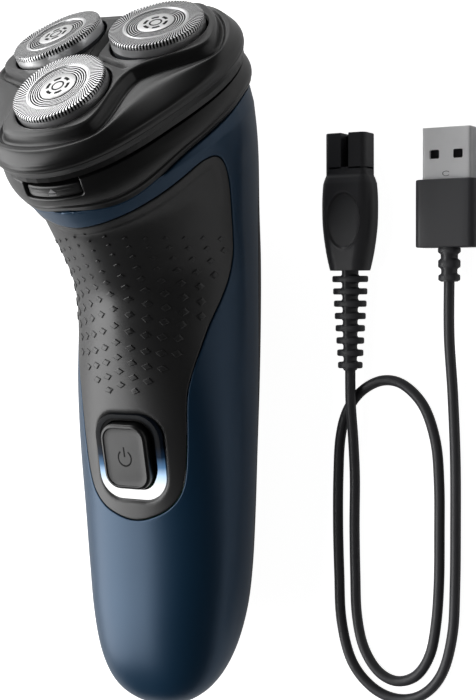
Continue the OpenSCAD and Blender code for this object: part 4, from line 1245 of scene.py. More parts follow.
@dataclass
class Collar:
    """The neck piece between the shells and the shaving unit, with the release button."""

    radius: float = 29.9
    height: float = -13.3
    seam_gap: float = 0.2
    bulge: float = 0.045
    wall: float = 1.6
    release_width: float = 14.4
    release_height: float = 3.6
    release_v: float = -33.6
    release_w: float = -17.7
    release_round: float = 19.5
    columns: int = 300
    rows: int = 70

    def skin(self) -> Array:
        """Rings from the shells' end to the unit's seam: a convex band over a narrow lower band.

        Each ring blends the neck's outline with the unit's, is drawn out by a share of a sine, and
        is then moved along its normal by the profile of the two bands.

        Returns:
            The rings, each point with its place and its normal.
        """
        k = np.linspace(0, 0.985, self.rows)
        angle = np.linspace(-90, 270, self.columns)
        low = FORM.place(np.stack([np.full(self.columns, FORM.last + 1.0), angle], 1))
        low[:, 1] += self.seam_gap
        high = TRI.ring(np.full(self.columns, self.radius), angle, self.height)
        mid_low = (low.min(0) + low.max(0)) / 2
        mid_high = (high.min(0) + high.max(0)) / 2
        k3 = k[:, None, None]
        rings = low * (1 - k3) + high * k3
        middle = mid_low * (1 - k3) + mid_high * k3
        rings = middle + (rings - middle) * (1 + self.bulge * np.sin(np.pi * k3))
        # a groove between the bands, the narrow band, and the edges at the unit and at the shells
        sink = (0.35 * np.exp(-((k - 0.235) / 0.03) ** 2) + 0.5 * ease((0.2 - k) / 0.2) * 0.3
                + 0.75 * ease((k - 0.9) / 0.085) + 0.25 * ease((0.02 - k) / 0.02))
        normal = outward(rings)
        return np.concatenate([rings - normal * sink[:, None, None], normal], 2)

    def recess(self, values: Array) -> Array:
        """Distance outside the opening for the release button.

        Args:
            values: rows that start with a place.

        Returns:
            The distance of each, large away from the back.
        """
        x, v, w = FRAMES.to_head(values[:, :3])
        gap = rounded_distance(x, w - self.release_w - self.release_height / 2,
                               self.release_width + 1.0, self.release_height + 0.7, 0.9)
        return np.where(v < -20, gap, FAR)

    def pocket(self) -> None:
        """The pocket behind the release button, deep black as painted shade of its recess."""
        loop = rounded_loop(self.release_width + 1.3, self.release_height + 1.0, 0.9)
        x, w = loop[:, 0], loop[:, 1] + self.release_w + self.release_height / 2
        rings = np.array([FRAMES.head(x, v + 0.02 * x ** 2, w) for v in (-24.5, -25.0, -27.0)])
        piece("release_pocket_shade", loft(rings), SHADE, Body.ROOT)

    def on_key(self, x: Array, w: Array, depth: float) -> Array:
        """Places on the release button's round and leaning face.

        Args:
            x: distance across.
            w: height over the button's middle.
            depth: how far behind the face.

        Returns:
            The places in space.
        """
        v = self.release_v + self.release_round - np.sqrt(self.release_round ** 2 - x ** 2)
        lean = 0.16 * (w + self.release_height / 2)
        return FRAMES.head(x, v + depth + lean, w + self.release_w + self.release_height / 2 - 0.45)

    def button(self) -> None:
        """The release button: a curved bar with a bevelled upper ledge and a moulded mark."""
        loop = rounded_loop(self.release_width, self.release_height - 0.9, 0.7, arc=7, side=14)
        rings = []
        for shrink, inward, depth in ((0, 0, 3.1), (0, 0, 0.35), (0, 0.1, 0.12), (0, 0.35, 0.0),
                                      (0, 0.7, 0.03), (0, 1.2, 0.05), (0.35, 1.2, 0.05),
                                      (0.7, 1.2, 0.05), (0.98, 1.2, 0.05)):
            full = np.array([self.release_width, self.release_height])
            x, w = (loop * (1 - 2 * inward / full) * (1 - shrink)).T
            rings.append(self.on_key(x, w, depth))
        piece("release_key", loft(np.array(rings)), SATIN, Body.RELEASE,
              ["release_button"], sharp=40)
        outlines = {"triangle": np.array([[-1.0, -0.25], [1.0, -0.25], [0.0, 0.72]]),
                    "bar": np.array([[-1.0, -0.85], [1.0, -0.85], [1.0, -0.58], [-1.0, -0.58]])}
        for name, outline in outlines.items():
            shape = loft(np.array([self.on_key(*outline.T, depth) for depth in (0.06, -0.02)]))
            piece(f"release_mark_{name}", shape, PRINT, Body.RELEASE)

    def build(self) -> None:
        """Makes the collar and its button."""
        band = hollowed(Patch.over(self.skin()), self.recess, 0.35, self.wall)
        piece("collar_band", band, SATIN, Body.ROOT, ["collar"])
        self.pocket()
        self.button()


# ---------------------------------------------------------------- shaving unit
@dataclass
class UnitCover:
    """The head's cover: a skirt, a groove and a three-lobed top with holes for the caps."""

    radius: float = 29.9
    skirt: float = 1.7
    cap_d: float = 22.4
    cap_gap: float = 0.6
    plateau: float = -2.1
    between: float = 16.1
    lobe_reach: float = 1.8
    lobe_side: float = 1.2
    hinge_room: tuple[float, float] = (9.6, 9.4)
    valleys: tuple[tuple[float, float, float, float], ...] = (  # direction, depth, half width, length
        (-30.0, 1.3, 0.85, 15.5), (90.0, 2.6, 1.5, 17.0), (210.0, 1.7, 0.9, 16.0))
    wall: float = 1.4
    columns: int = 420
    steps: int = 5

    def lobed(self, reach: float, half: float, gap: float, angle: Array) -> Array:
        """Radius of an outline with a lobe round each cap.

        Off a cap's axis a lobe's flank is its half width over the sine, joined to its reach by a
        tenth-power mean, and to the radius between the lobes by a twelfth-power one.

        Args:
            reach: radius at the caps.
            half: half width of a lobe.
            gap: radius between the lobes.
            angle: angles round the head in degrees.

        Returns:
            The radius at each angle.
        """
        off = np.min([np.abs((-angle - a + 900) % 360 - 180) for a in FRAMES.cap_angles], 0)
        flank = half / np.maximum(np.sin(np.radians(np.minimum(off, 60))), 0.05)
        lobe = (reach ** -10.0 + flank ** -10.0) ** -0.1
        return (lobe ** 12 + gap ** 12) ** (1 / 12)

    def falling(self, r: Array, w: float, fall: float, angle: Array) -> Array:
        """A ring that falls away outside the caps' own circle.

        Args:
            r: its radius at each angle.
            w: its height inside that circle.
            fall: how far it falls for each millimetre outwards.
            angle: angles round the head in degrees.

        Returns:
            The places in space.
        """
        t = np.radians(angle)
        drop = fall * np.maximum(0, r - FRAMES.cap_ring)
        return FRAMES.head(r * np.cos(t), -r * np.sin(t), w - drop)

    def skin(self) -> Array:
        """Rings of the cover from its lip to its middle, smooth curves through its knots.

        Returns:
            The rings, each point with its place and its normal.
        """
        angle = np.linspace(-90, 270, self.columns)
        fall = np.sin(np.radians(FRAMES.cap_tilt))
        reach = FRAMES.cap_ring + self.cap_d / 2 + self.lobe_reach
        half = self.cap_d / 2 + self.cap_gap + self.lobe_side
        up = FRAMES.head(0.0, 0.0, 1.0) - FRAMES.head(0.0, 0.0, 0.0)

        def tri(grow: float, w: float) -> Array:
            """A ring round the skirt's triangle, this much larger and at this height."""
            return TRI.ring(np.full(self.columns, self.radius + grow), angle, w)

        def lobe(grow: float, wide: float, deep: float, w: float, share: float) -> Array:
            """A lobed ring: growth at the caps, at the flanks and between, height, share of the fall."""
            r = self.lobed(reach + grow, half + wide, self.between + deep, angle)
            return self.falling(r, self.plateau + w, fall * share, angle)

        lip = [tri(0.2, -11.75), tri(0.85, -11.72), tri(1.12, -11.6), tri(1.3, -11.1), tri(1.62, -10.35),
               tri(1.7, -10.15), tri(1.66, -10.0)]
        shoulder = tri(self.skirt - 0.35, -7.6)
        crest = lobe(1.6, 2.2, 2.4, -1.95, 1.2)
        half_way = (shoulder + crest) / 2 + 0.75 * up
        near = shoulder * 0.2 + crest * 0.8 + 0.4 * up
        body = [tri(self.skirt + 0.1, -9.3), tri(self.skirt, -8.6), shoulder, half_way, near, crest]
        groove = [lobe(1.35, 1.85, 2.1, -2.2, 1.2), lobe(0.95, 1.3, 1.4, -2.6, 1.15),
                  lobe(0.55, 0.75, 0.8, -2.3, 1.1), lobe(0.3, 0.4, 0.35, -1.3, 1.0),
                  lobe(0.1, 0.12, 0.1, -0.5, 1.0), lobe(-0.35, -0.35, -0.3, -0.12, 1.0)]
        edge = self.lobed(reach - 1.0, half - 1.0, self.between - 1.0, angle)
        top = [self.falling(edge * share, self.plateau, fall, angle)
               for share in (1.0, 0.85, 0.7, 0.55, 0.42, 0.3, 0.2, 0.12, 0.05, 0.0)]
        knots = np.array(lip + body + groove + top)
        last = len(knots) - 1
        rings = self.creased(through(knots, np.linspace(0, last, last * self.steps + 1)))
        return np.concatenate([rings, outward(rings)], 2)

    def creased(self, rings: Array) -> Array:
        """Sinks three valleys that run out between the caps, deepest at the middle.

        Args:
            rings: the cover's rings.

        Returns:
            The rings with the valleys.
        """
        x, v, w = FRAMES.to_head(rings.reshape(-1, 3))
        sink = np.zeros(len(x))
        for turn, deep, wide, reach in self.valleys:
            along, across = turned(x, v, -turn)
            fade = ease((reach - along) / 5.0) * (along > -1.5)
            sink = np.maximum(sink, deep * fade * np.clip(1 - np.abs(across) / wide, 0, 1) ** 0.8)
        sink *= w > self.plateau - 2.4
        return FRAMES.head(x, v, w - sink).reshape(rings.shape)

    def holes(self, values: Array) -> Array:
        """Distance outside the nearest cap's hole.

        Args:
            values: rows that start with a place.

        Returns:
            The distance of each, large below the cover.
        """
        gaps = []
        for number in range(3):
            far, height = FRAMES.from_cap_axis(number, values[:, :3])
            gaps.append(np.where(height > -8, far - self.cap_d / 2 - self.cap_gap, FAR))
        return np.min(gaps, 0)

    def hinge(self, values: Array) -> Array:
        """Distance outside the room for the hinge, at the back of the lip."""
        x, v, w = FRAMES.to_head(values[:, :3])
        return np.where(v > 15, np.maximum(np.abs(x) - self.hinge_room[0], w + self.hinge_room[1]), FAR)

    def build(self) -> None:
        """Makes the cover."""
        shape = hollowed(Patch.over(self.skin()).cut(self.hinge), self.holes, 0.45, self.wall)
        piece("unit_shell", shape, SATIN, Body.UNIT, ["unit_cover"], sharp=38)


@dataclass
class Cap:
    """One shaving cap: a slotted rim, a lip, fine rings and a bright middle plate."""

    number: int
    diameter: float = 22.4
    slots: int = 90
    slot_depth: float = 0.55
    bar_share: float = 0.44
    side_share: float = 0.06
    groove_z: float = -0.36
    plate_share: float = 0.39

    @property
    def body(self) -> Body:
        """The head that the cap rides on."""
        return (Body.HEAD_1, Body.HEAD_2, Body.HEAD_3)[self.number]

    def profile(self) -> Array:
        """The section of the cap, from its foot inwards.

        Returns:
            Rows of radius, height, whether a slot is open, and sweep in degrees.
        """
        r = self.diameter / 2
        rows = [[r - 0.5, -1.3, 0, 0], [r - 0.5, -3.0, 0, 0], [r - 0.1, -3.0, 0, 0], [r, -2.9, 0, 0],
                [r, -1.15, 0, 0], [r, -1.05, 1, 0], [r, -0.45, 1, 0], [r - 0.08, -0.2, 1, 0],
                [r - 0.25, -0.04, 1, 0], [r - 0.5, 0.0, 1, 0]]
        for share in np.linspace(0.93, 0.70, 9):
            rows.append([r * share, 0.0, 1, 34 * (0.93 - share) ** 1.25 * 2.2])
        rows += [[r * 0.69, 0.0, 0, rows[-1][3]], [r * 0.674, 0.0, 0, 0], [r * 0.67, 0.07, 0, 0],
                 [r * 0.66, 0.1, 0, 0], [r * 0.651, 0.07, 0, 0], [r * 0.647, -0.16, 0, 0]]
        for share in np.linspace(0.64, 0.44, 5):
            rows += [[r * share, -0.16, 0, 0], [r * (share - 0.02), -0.16, 0, 0],
                     [r * (share - 0.022), self.groove_z, 0, 0],
                     [r * (share - 0.048), self.groove_z, 0, 0]]
        rows += [[r * 0.376, -0.16, 0, 0], [r * 0.25, -0.1, 0, 0], [0.0, -0.1, 0, 0]]
        return np.array(rows)

    def build(self) -> None:
        """Makes the cap and its plate's openings.

        The rim is a grid of radius and angle. Each slot takes four columns: the bar's two sides and
        the slot's two sides, and the slot's columns are pushed inwards where it is open.
        """
        rows = self.profile()
        radius, height, _, sweep = rows.T[..., None]
        pitch = 2 * np.pi / self.slots
        share = self.bar_share + 0.04 * np.clip((self.diameter / 2 - radius) / 3.2, 0, 1)
        last = np.full_like(share, 1 - self.side_share)
        offsets = np.hstack([share * 0, share, share + self.side_share, last]) * pitch
        angle = (np.arange(self.slots)[:, None] * pitch + offsets[:, None]).reshape(len(rows), -1)
        deep = np.tile([False, False, True, True], self.slots) & (rows[:, 2:3] > 0.5)
        push = np.where(deep, self.slot_depth, 0.0)
        points = polar(radius - push * (height < -0.15), angle + np.radians(sweep),
                       height - push * (height >= -0.3))
        m, n = angle.shape
        flat, tris = points.reshape(-1, 3), between_rings(m, n)
        # Painted shadow: the faces inside the open slots and along the fine grooves' floors take the deep
        # black slot_shadow finish.
        wide = deep | np.roll(deep, -1, 1)
        low = np.abs(rows[:, 1:2] - self.groove_z) < 0.01
        shaded_faces = np.tile(((wide[:-1] & wide[1:]) | low[:-1] | low[1:]).ravel(), 2)
        plate = self.diameter / 2 * self.plate_share
        rim = np.hypot(*flat[tris][:, :, :2].mean(1).T) >= plate * 0.94
        under = np.stack([np.full(n, m * n), (np.arange(n) + 1) % n, np.arange(n)], 1)
        number = self.number + 1
        shape = (FRAMES.cap(self.number, np.vstack([flat, [[0, 0, rows[0, 1]]]])),
                 np.vstack([tris[rim], under]))
        piece(f"cap_rim_{number}", shape, STEEL, self.body, [f"shaving_cap_{number}"],
              sharp=25, second=SLOT_SHADOW, marks=np.concatenate([shaded_faces[rim], np.zeros(n, bool)]))
        self.plate(plate)

    def plate(self, radius: float) -> None:
        """The bright plate: a disc, with thin deep black bands on it as painted shade of the arc openings
        round its hub and of a narrow ring about the hub.

        Args:
            radius: the disc's radius.
        """
        number = self.number + 1
        turn = np.linspace(0, 2 * np.pi, 96, endpoint=False)
        rings = [polar(r, turn, h) for r, h in (
            (radius - 0.3, -0.5), (radius, -0.4), (radius, -0.04), (radius - 0.1, 0.02),
            (radius * 0.6, 0.05), (radius * 0.3, 0.05), (radius * 0.1, 0.05))]
        disc = loft(FRAMES.cap(self.number, np.array(rings)))
        piece(f"cap_plate_{number}", disc, BRIGHT, self.body, [f"cap_centre_{number}"])
        for k in range(6):
            sweep = np.radians(np.linspace(60 * k + 8, 60 * k + 46, 9))
            self.painted_shade_band(f"cap_opening_shade_{number}_{k + 1}", 0.52 * radius, 0.68 * radius, sweep)
        self.painted_shade_band(f"cap_hub_shade_{number}", 0.27 * radius, 0.36 * radius, np.linspace(0, 2 * np.pi, 40))

    def painted_shade_band(self, name: str, inner: float, outer: float, sweep: Array) -> None:
        """A thin deep black band on the plate, painted shade of an opening or a gap.

        Args:
            name: the piece's name.
            inner: its inner radius.
            outer: its outer radius.
            sweep: angles along it in radians.
        """
        sides = [polar(r, sweep, 0)[:, :2] for r in (inner, outer)]
        shape = loft(FRAMES.cap(self.number, strip(*sides, 0.03, 0.075)))
        piece(name, shape, SHADE, self.body)


# ---------------------------------------------------------------- charging lead
@dataclass
class Lead:
    """The charging lead: a two-pronged plug, a looped cord and a USB plug."""

    plug: tuple[float, float] = (43.0, 4.3)
    usb: tuple[float, float] = (68.5, 3.9)
    top_y: float = 55.8
    tip: tuple[float, float, float] = (10.7, 6.6, 9.9)
    slot: tuple[float, float] = (2.0, 8.3)
    bore: tuple[float, float, float] = (2.5, 0.9, 7.0)
    body_l: float = 23.5
    relief_l: float = 24.4
    cord_d: float = 2.6
    shell: tuple[float, float, float] = (12.0, 4.5, 12.2)
    mould: tuple[float, float, float] = (15.0, 7.8, 16.0)
    usb_relief_l: float = 8.1
    oval: tuple[float, float] = (4.35, 6.8)
    oval_from: float = 11.4
    shell_wall: float = 0.3
    window: tuple[float, float, float] = (2.4, 2.1, 0.15)
    window_at: tuple[float, float] = (2.95, 6.3)
    stamp_from: float = 10.9
    route: tuple[tuple[float, float, float], ...] = (
        (43, 0.8, 4.3), (43, -5.2, 4.3), (43, -11.2, 4), (43, -19.2, 2.6), (42.9, -29.2, 1.4),
        (42.8, -41.2, 1.4), (43, -53.2, 1.4), (43.4, -63.2, 1.4), (45.2, -71.2, 1.4), (49, -76.8, 1.4),
        (54, -78.8, 1.4), (59.2, -76.8, 1.4), (62.8, -71.2, 1.4), (64.4, -63.2, 1.4), (65.1, -53.2, 1.4),
        (65.2, -41.2, 1.4), (65.1, -29.2, 1.4), (64.2, -19.2, 1.4), (61.2, -10.7, 1.4), (56, -5.6, 1.4),
        (50.5, -4.6, 1.4), (45, -7.2, 1.4), (41, -12.2, 1.4), (39, -19.2, 1.4), (38.4, -29.2, 1.4),
        (38.3, -41.2, 1.4), (38.6, -53.2, 1.4), (39.2, -65.2, 1.4), (42, -75.2, 1.4), (47.6, -81.2, 1.4),
        (54.4, -83.2, 1.4), (61, -81.2, 1.4), (66, -75.2, 1.4), (68.6, -65.2, 1.4), (69.2, -53.2, 1.4),
        (69.3, -39.2, 1.4), (69.2, -23.2, 1.4), (68.8, -7.2, 2.2), (68.5, 6.8, 3.9), (68.5, 21.8, 3.9))

    def ring(self, at: tuple[float, float], y: float, loop: Array) -> Array:
        """A flat outline set across the lead.

        Args:
            at: place across and height of its middle.
            y: its place along.
            loop: rows of distance across and height.

        Returns:
            The places in space.
        """
        return np.column_stack([at[0] + loop[:, 0], np.full(len(loop), y), at[1] + loop[:, 1]])

    def cord(self) -> tuple[bpy.types.Object, float]:
        """The cord as a curve through its route.

        Returns:
            The curve, and its length in metres.
        """
        knots = np.array(self.route)
        line = through(knots, np.linspace(0, len(knots) - 1, 8 * (len(knots) - 1) + 1)) * MM
        curve = bpy.data.curves.new("lead_cord", "CURVE")
        curve.dimensions = "3D"
        spline = curve.splines.new("POLY")
        spline.points.add(len(line) - 1)
        spline.points.foreach_set("co", np.column_stack([line, np.ones(len(line))]).ravel())
        curve.bevel_depth = (self.cord_d / 2 - 0.01) * MM
        curve.bevel_resolution = 5
        curve.use_fill_caps = True
        curve.materials.append(LEAD.material())
        obj = linked("lead_cord", curve)
        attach(obj, Body.ROOT.value)
        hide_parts("cord")
        length = float(run_length(line)[-1])
        log.info("lead_cord: %.3f m", length)
        return obj, length

    def plug_tip(self) -> list[bpy.types.Object]:
        """The two prongs on their base, each with a bore in its end, and a dark plate in the slot between
        them, painted shade that makes the slot read as deep.

        Returns:
            Both pieces.
        """
        width, height, length = self.tip
        half_slot, depth = self.slot[0] / 2, self.slot[1]
        loop = rounded_loop(width, height, 1.3, side=9)
        parts = []
        for side in (-1, 1):
            near = loop.copy()
            near[:, 0] = side * np.maximum(side * near[:, 0], half_slot)
            middle = np.array([side * self.bore[0], 0.0])
            rel = near - middle
            hole = middle + self.bore[1] * rel / np.maximum(np.linalg.norm(rel, axis=1, keepdims=True), 1e-9)
            outlines = ((near, depth + 0.4), (near, 0.3), (middle + rel * 0.985, 0.08),
                        (middle + rel * 0.95, 0), (hole, 0), (hole, self.bore[2]))
            parts.append(loft(np.array([self.ring(self.plug, self.top_y - y, outline)
                                        for outline, y in outlines])))
        parts.append(loft(np.array([self.ring(self.plug, self.top_y - y, loop)
                                    for y in (depth, length + 0.3)])))
        tip = piece("lead_plug_tip", joined(parts), LEAD, Body.ROOT, ["plug_tip"])
        # A deep black plate halfway down the slot: painted shade, not a part of the plug.
        slot_shade = rounded_loop(self.slot[0] + 0.1, height / 2 - 0.4, 0.2) + np.array([0, -height / 4])
        rings = [self.ring(self.plug, self.top_y - y, slot_shade) for y in (0.5, depth + 0.2)]
        return [tip, piece("lead_plug_slot_shade", loft(np.array(rings)), SHADE, Body.ROOT)]

    def oval_distance(self, values: Array) -> Array:
        """About the distance from the oval on the plug's broad sides, negative inside it.

        Args:
            values: rows of places.

        Returns:
            The distance of each, large on the narrow sides.
        """
        x = values[:, 0] - self.plug[0]
        y = values[:, 1] - (self.top_y - self.tip[2] - self.oval_from)
        share = np.hypot(x / self.oval[0], y / self.oval[1])
        return np.where(np.abs(values[:, 2] - self.plug[1]) > 2.5, (share - 1) * 4.6, FAR)

    def plug_body(self) -> bpy.types.Object:
        """The plug's body: a waisted grip with an oval hollow on each broad side.

        Its sections are rounded rectangles whose width, height and corners follow smooth curves
        along it. Inside the oval the surface steps in, with a fine raised line round it.

        Returns:
            The piece.
        """
        at, *sizes = np.array([
            [0, 0.25, 0.9, 2.3, 5.2, 8.1, 12.1, 15.6, 19.0, 21.4, 23.0, self.body_l],
            [10.7, 10.8, 11.6, 12.7, 13.25, 13.4, 13.2, 12.5, 11.5, 10.6, 9.9, 9.6],
            [6.6, 6.7, 7.2, 7.9, 8.4, 8.5, 8.5, 8.4, 8.2, 7.9, 7.5, 7.2],
            [1.3, 1.5, 2.0, 2.6, 3.0, 3.1, 3.1, 3.1, 3.1, 3.1, 3.0, 2.9]])
        fine = np.concatenate([np.linspace(0, 0.9, 5)[:-1], np.linspace(0.9, self.body_l, 80)])
        k = np.interp(fine, at, np.arange(len(at)))
        start = self.top_y - self.tip[2]
        rings = [self.ring(self.plug, start - y, rounded_loop(*size, side=24))
                 for y, size in zip(fine, through(np.stack(sizes, 1), k))]
        ends = [np.broadcast_to(ring.mean(0), ring.shape) for ring in (rings[0], rings[-1])]
        full = np.array([ends[0], *rings, ends[1]])
        patch = Patch.over(np.concatenate([full, full[:, :1]], 1))
        for level in (-0.55, -0.3, -0.12, 0.1, 0.35):
            patch = patch.cut(self.oval_distance, level, both=True)
        gap = self.oval_distance(patch.values)
        move = -0.42 * ease((0.05 - gap) / 0.35) + 0.1 * np.exp(-((gap - 0.1) / 0.16) ** 2)
        side = np.sign(patch.values[:, 2] - self.plug[1])
        patch.values[:, 2] += side * np.where(gap < 5, move, 0)
        shape = welded(patch.values, patch.tris)
        return piece("lead_plug_body", shape, LEAD, Body.ROOT, ["plug_body"])

    def relief(self, name: str, node: str, at: tuple[float, float], start: float, length: float,
               fins: Sequence[tuple[float, float, float]], core: tuple[float, float],
               height: tuple[float, float]) -> bpy.types.Object:
        """A strain relief: a flattened core with plates standing out to its sides.

        Args:
            name: the piece's name.
            node: the CAD node that it replaces.
            at: place across and height of its middle.
            start: where it begins.
            length: its length.
            fins: start, thickness and width of each plate.
            core: the core's width at its two ends.
            height: the height at its two ends.

        Returns:
            The piece.
        """
        turn = np.linspace(0, 2 * np.pi, 40, endpoint=False)
        round_loop = polar(1, turn, 0)[:, :2]
        full_loop = np.sign(round_loop) * np.abs(round_loop) ** 0.8
        fine = np.linspace(0, length, 120)
        near = np.min([np.abs(fine - a - t / 2) - t / 2 for a, t, _ in fins], 0)
        root = 0.9 * np.clip(1 - near / 0.45, 0, 1) ** 2
        sizes = np.stack([np.interp(fine, (0, length), core) + root,
                          np.interp(fine, (0, length), height)], 1)
        parts = [loft(np.array([self.ring(at, start - y, round_loop * size / 2)
                                for y, size in zip(fine, sizes)]))]
        for begin, wall, width in fins:
            tall = np.interp(begin + wall / 2, (0, length), height) + 0.06
            half = np.array([width, tall]) / 2
            steps = ((0, 0.32), (0.1, 0.1), (0.32, 0), (wall - 0.32, 0), (wall - 0.1, 0.1), (wall, 0.32))
            parts.append(loft(np.array([self.ring(at, start - begin - step, full_loop * (half - draw))
                                        for step, draw in steps])))
        return piece(name, joined(parts), LEAD, Body.ROOT, [node])

    def window_distance(self, values: Array) -> Array:
        """Distance outside the USB shell's windows, two on each broad side.

        Args:
            values: rows of places.

        Returns:
            The distance of each, large on the narrow sides.
        """
        x = np.abs(values[:, 0] - self.usb[0]) - self.window_at[0]
        gap = rounded_distance(x, values[:, 1] - (self.top_y - self.window_at[1]), *self.window)
        return np.where(np.abs(values[:, 2] - self.usb[1]) > self.shell[1] / 2 - 0.2, gap, FAR)

    def usb_shell(self) -> list[bpy.types.Object]:
        """The plated shell with its four windows and a stamped mark.

        Returns:
            Both pieces.
        """
        width, height, length = self.shell
        base = rounded_loop(width, height, 0.45, arc=5, side=24)
        fine = np.concatenate([[0, 0.08], np.linspace(0.25, length + 0.5, 60)])
        scales = np.concatenate([[0.98, 0.994], np.ones(60)])
        full = np.array([self.ring(self.usb, self.top_y - y, base * scale)
                         for y, scale in zip(fine, scales)])
        patch = Patch.over(np.concatenate([full, full[:, :1]], 1))
        patch = patch.cut(self.window_distance)
        rel = patch.values - np.array([self.usb[0], 0, self.usb[1]])
        inner = patch.values - rel * 2 * self.shell_wall * np.array([1 / width, 0, 1 / height])
        shape = thick(patch.values, inner, patch.tris)
        shell = piece("lead_usb_shell", shape, SHELL_METAL, Body.ROOT, ["usb_shell"])
        turn = np.radians(np.linspace(35, 325, 30))
        middle, top = (self.usb[0], self.top_y - self.stamp_from), self.usb[1] + height / 2
        lines = [polar(r, turn, 0)[:, :2] * (1.25, 0.8) + middle for r in (0.62, 0.76)]
        stamp = piece("lead_usb_stamp", loft(strip(*lines, top - 0.02, top + 0.02)), INNER, Body.ROOT)
        return [shell, stamp]

    def usb_mould(self) -> bpy.types.Object:
        """The bare overmould of the USB plug, softly rounded at its ends.

        Returns:
            The piece.
        """
        width, height, length = self.mould
        start = self.top_y - self.shell[2]
        rings = []
        for y, draw in ((0, 0.35), (0.1, 0.12), (0.35, 0), (length / 2, 0), (length - 0.35, 0),
                        (length - 0.1, 0.12), (length, 0.35)):
            loop = rounded_loop(width - 2 * draw, height - 2 * draw, 1.7 - draw)
            rings.append(self.ring(self.usb, start - y, loop))
        return piece("lead_usb_mould", loft(np.array(rings)), LEAD, Body.ROOT,
                     ["usb_overmould"])

    def build(self) -> None:
        """Makes the cord first, then what is on it."""
        cord, length = self.cord()
        fins = [(1.3 + 3.02 * k, 1.55, 8.9 - 0.4 * k) for k in range(8)]
        usb_fins = [(0.0, 1.3, 5.3), (2.9, 1.9, 5.2), (6.4, 1.5, 5.1)]
        body_end = self.top_y - self.tip[2] - self.body_l
        usb_end = self.top_y - self.shell[2] - self.mould[2]
        along = [*self.plug_tip(), self.plug_body(),
                 self.relief("lead_plug_relief", "plug_relief", self.plug, body_end,
                             self.relief_l + 0.1, fins, (3.5, 2.9), (6.4, 4.4)),
                 self.relief("lead_usb_relief", "usb_relief", self.usb, usb_end,
                             self.usb_relief_l, usb_fins, (4.2, 3.6), (4.6, 4.2)),
                 self.usb_mould(), *self.usb_shell(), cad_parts["usb_tongue"]]


# ---------------------------------------------------------------- finishes of the kept solids
DRESS: dict[Finish, tuple[str, ...]] = {
    PAINT: ("front_shell",),
    BACK: ("back_cover",),
    RUBBER: ("front_grip",),
    GLOW: ("light_ring",),
    SATIN: ("power_button", "collar", "release_button", "hinge_bracket", "hinge_arm", "unit_base",
            "unit_cover"),
    INNER: ("tact_switch", "inner_frame", "inlet_socket", "chamber_floor", "gear_plate", "cap_holder_1",
            "cap_holder_2", "cap_holder_3"),
    BOARD: ("circuit_board",),
    WHITE: ("ring_lights", "retaining_frame"),
    WRAP: ("battery",),
    BRASS: ("battery_tabs", "inlet_pins", "motor_pinion"),
    CUTTER: ("gear_plate_screws", "motor_can", "motor_shaft", "drive_spindle_1", "drive_spindle_2",
             "drive_spindle_3", "release_spring", "hinge_pin", "cutter_1", "cutter_2", "cutter_3"),
    GEAR: ("drive_gear_1", "drive_gear_2", "drive_gear_3"),
    STEEL: ("shaving_cap_1", "shaving_cap_2", "shaving_cap_3"),
    BRIGHT: ("cap_centre_1", "cap_centre_2", "cap_centre_3"),
    LEAD: ("plug_tip", "plug_body", "plug_relief", "cord", "usb_relief", "usb_overmould", "usb_tongue"),
    SHELL_METAL: ("usb_shell",),
}


def dress_nodes() -> None:
    """Gives each solid of the frame its finish."""
    for finish, names in DRESS.items():
        for name in names:
            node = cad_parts[name]
            for holder in node.material_slots:
                holder.material = finish.material()
        log.info("%s: %d solids", finish.name, len(names))


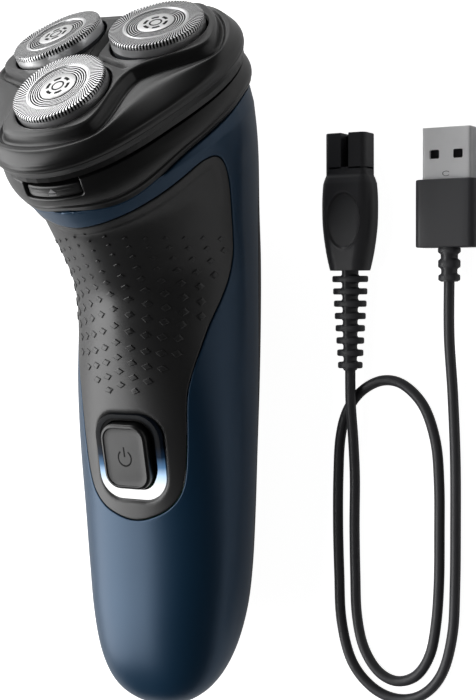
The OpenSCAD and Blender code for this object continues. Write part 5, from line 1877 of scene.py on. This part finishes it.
# ---------------------------------------------------------------- floor, lights and camera
@dataclass
class Studio:
    """A white floor, three softboxes, a dim even world and the camera."""

    camera_place: tuple[float, float, float] = (184.3, 17.89, 316.8)
    right: tuple[float, float, float] = (0.8751, -0.0046, -0.4839)
    up: tuple[float, float, float] = (-0.017, 0.9990, -0.0403)
    lens: float = 71.49
    floor_size: float = 6.0
    floor_white: float = 0.62
    floor_glow: float = 0.97
    floor_mirrored: float = 0.18
    world: float = 0.05
    lamp_distance: float = 0.9

    @staticmethod
    def aim(obj: bpy.types.Object, place: Array, right: Array, back: Array) -> None:
        """Places an object with its own X to the right and its own Z backwards.

        Args:
            obj: the object.
            place: where it stands, in metres.
            right: unit direction of its X.
            back: unit direction of its Z.
        """
        turn = np.eye(4)
        turn[:3] = np.stack([right, np.cross(back, right), back, place], 1)
        obj.matrix_world = Matrix(turn.tolist())

    def camera(self) -> None:
        """The camera, level with its own frame of right and up."""
        data = bpy.data.cameras.new("camera")
        data.lens, data.sensor_width, data.sensor_fit = self.lens, 36.0, "AUTO"
        data.clip_start, data.clip_end = 0.01, 20
        obj = linked("camera", data)
        right = np.array(self.right) / np.linalg.norm(self.right)
        back = np.cross(right, self.up)
        self.aim(obj, np.array(self.camera_place) * MM, right, back / np.linalg.norm(back))
        bpy.context.scene.camera = obj

    def floor(self) -> None:
        """A plain white floor whose glow only the camera and glossy or clear things see.

        The glow is its level times the sum of 1 for camera rays and the mirrored share for glossy and
        transmission rays.
        """
        half = self.floor_size / 2
        mesh = bpy.data.meshes.new("floor")
        mesh.from_pydata([(-half, -half, 0), (half, -half, 0), (half, half, 0), (-half, half, 0)], [],
                         [(0, 1, 2, 3)])
        material = bpy.data.materials.new("floor_white")
        material.use_nodes = True
        nodes, links = material.node_tree.nodes, material.node_tree.links
        shader = nodes["Principled BSDF"]
        shader.inputs["Base Color"].default_value = (*[self.floor_white] * 3, 1)
        shader.inputs["Roughness"].default_value = 1.0
        shader.inputs["Specular IOR Level"].default_value = 0.0
        shader.inputs["Emission Color"].default_value = (1, 1, 1, 1)
        path = nodes.new("ShaderNodeLightPath")
        mirrored, seen, glow = (nodes.new("ShaderNodeMath") for _ in range(3))
        mirrored.operation, seen.operation, glow.operation = "MAXIMUM", "MULTIPLY_ADD", "MULTIPLY"
        seen.inputs[1].default_value = self.floor_mirrored
        glow.inputs[1].default_value = self.floor_glow
        for source, target in ((path.outputs["Is Transmission Ray"], mirrored.inputs[0]),
                               (path.outputs["Is Glossy Ray"], mirrored.inputs[1]),
                               (mirrored.outputs[0], seen.inputs[0]),
                               (path.outputs["Is Camera Ray"], seen.inputs[2]),
                               (seen.outputs[0], glow.inputs[0]),
                               (glow.outputs[0], shader.inputs["Emission Strength"])):
            links.new(source, target)
        mesh.materials.append(material)
        obj = linked("floor", mesh)

    def softbox(self, name: str, azimuth: float, elevation: float, width: float, height: float,
                radiance: float) -> None:
        """A large soft lamp that faces the middle of the shaver.

        Args:
            name: the lamp's name.
            azimuth: its direction round the upright axis, 0 along X, in degrees.
            elevation: its height above the floor as an angle, in degrees.
            width: its width in metres.
            height: its height in metres.
            radiance: how bright its face is; the power is this times pi times the area.
        """
        data = bpy.data.lights.new(name, "AREA")
        data.shape, data.size, data.size_y = "RECTANGLE", width, height
        data.energy = radiance * np.pi * width * height
        a, e = np.radians(azimuth), np.radians(elevation)
        back = np.array([np.cos(a) * np.cos(e), np.sin(a) * np.cos(e), np.sin(e)])
        side = np.array([-np.sin(a), np.cos(a), 0.0])
        self.aim(linked(name, data), back * self.lamp_distance, side, back)

    def surroundings(self) -> None:
        """An even world, dim as light but white to the camera, and the plain view settings."""
        world = bpy.data.worlds.new("world")
        world.use_nodes = True
        nodes, links = world.node_tree.nodes, world.node_tree.links
        path = nodes.new("ShaderNodeLightPath")
        level = added(nodes, "ShaderNodeMapRange", To_Min=self.world, To_Max=1.0)
        links.new(path.outputs["Is Camera Ray"], level.inputs["Value"])
        links.new(level.outputs["Result"], nodes["Background"].inputs["Color"])
        bpy.context.scene.world = world
        bpy.context.scene.view_settings.view_transform = "Standard"

    def build(self) -> None:
        """Sets up the camera, the floor, the lamps and the world."""
        self.camera()
        self.floor()
        self.surroundings()
        self.softbox("softbox_left", 180, 35, 1.2, 1.0, 3.3)
        self.softbox("softbox_right", 15, 8, 0.9, 0.4, 0.28)
        self.softbox("softbox_head", 120, 9, 0.8, 0.36, 2.9)
        log.info("studio: camera, floor and three softboxes")


def main() -> None:
    """Builds the scene in order."""
    Studio().build()
    Lead().build()
    Handle().build()
    PowerKey().build()
    Collar().build()
    UnitCover().build()
    for number in range(3):
        Cap(number).build()
    dress_nodes()


if __name__ == "__main__":
    main()
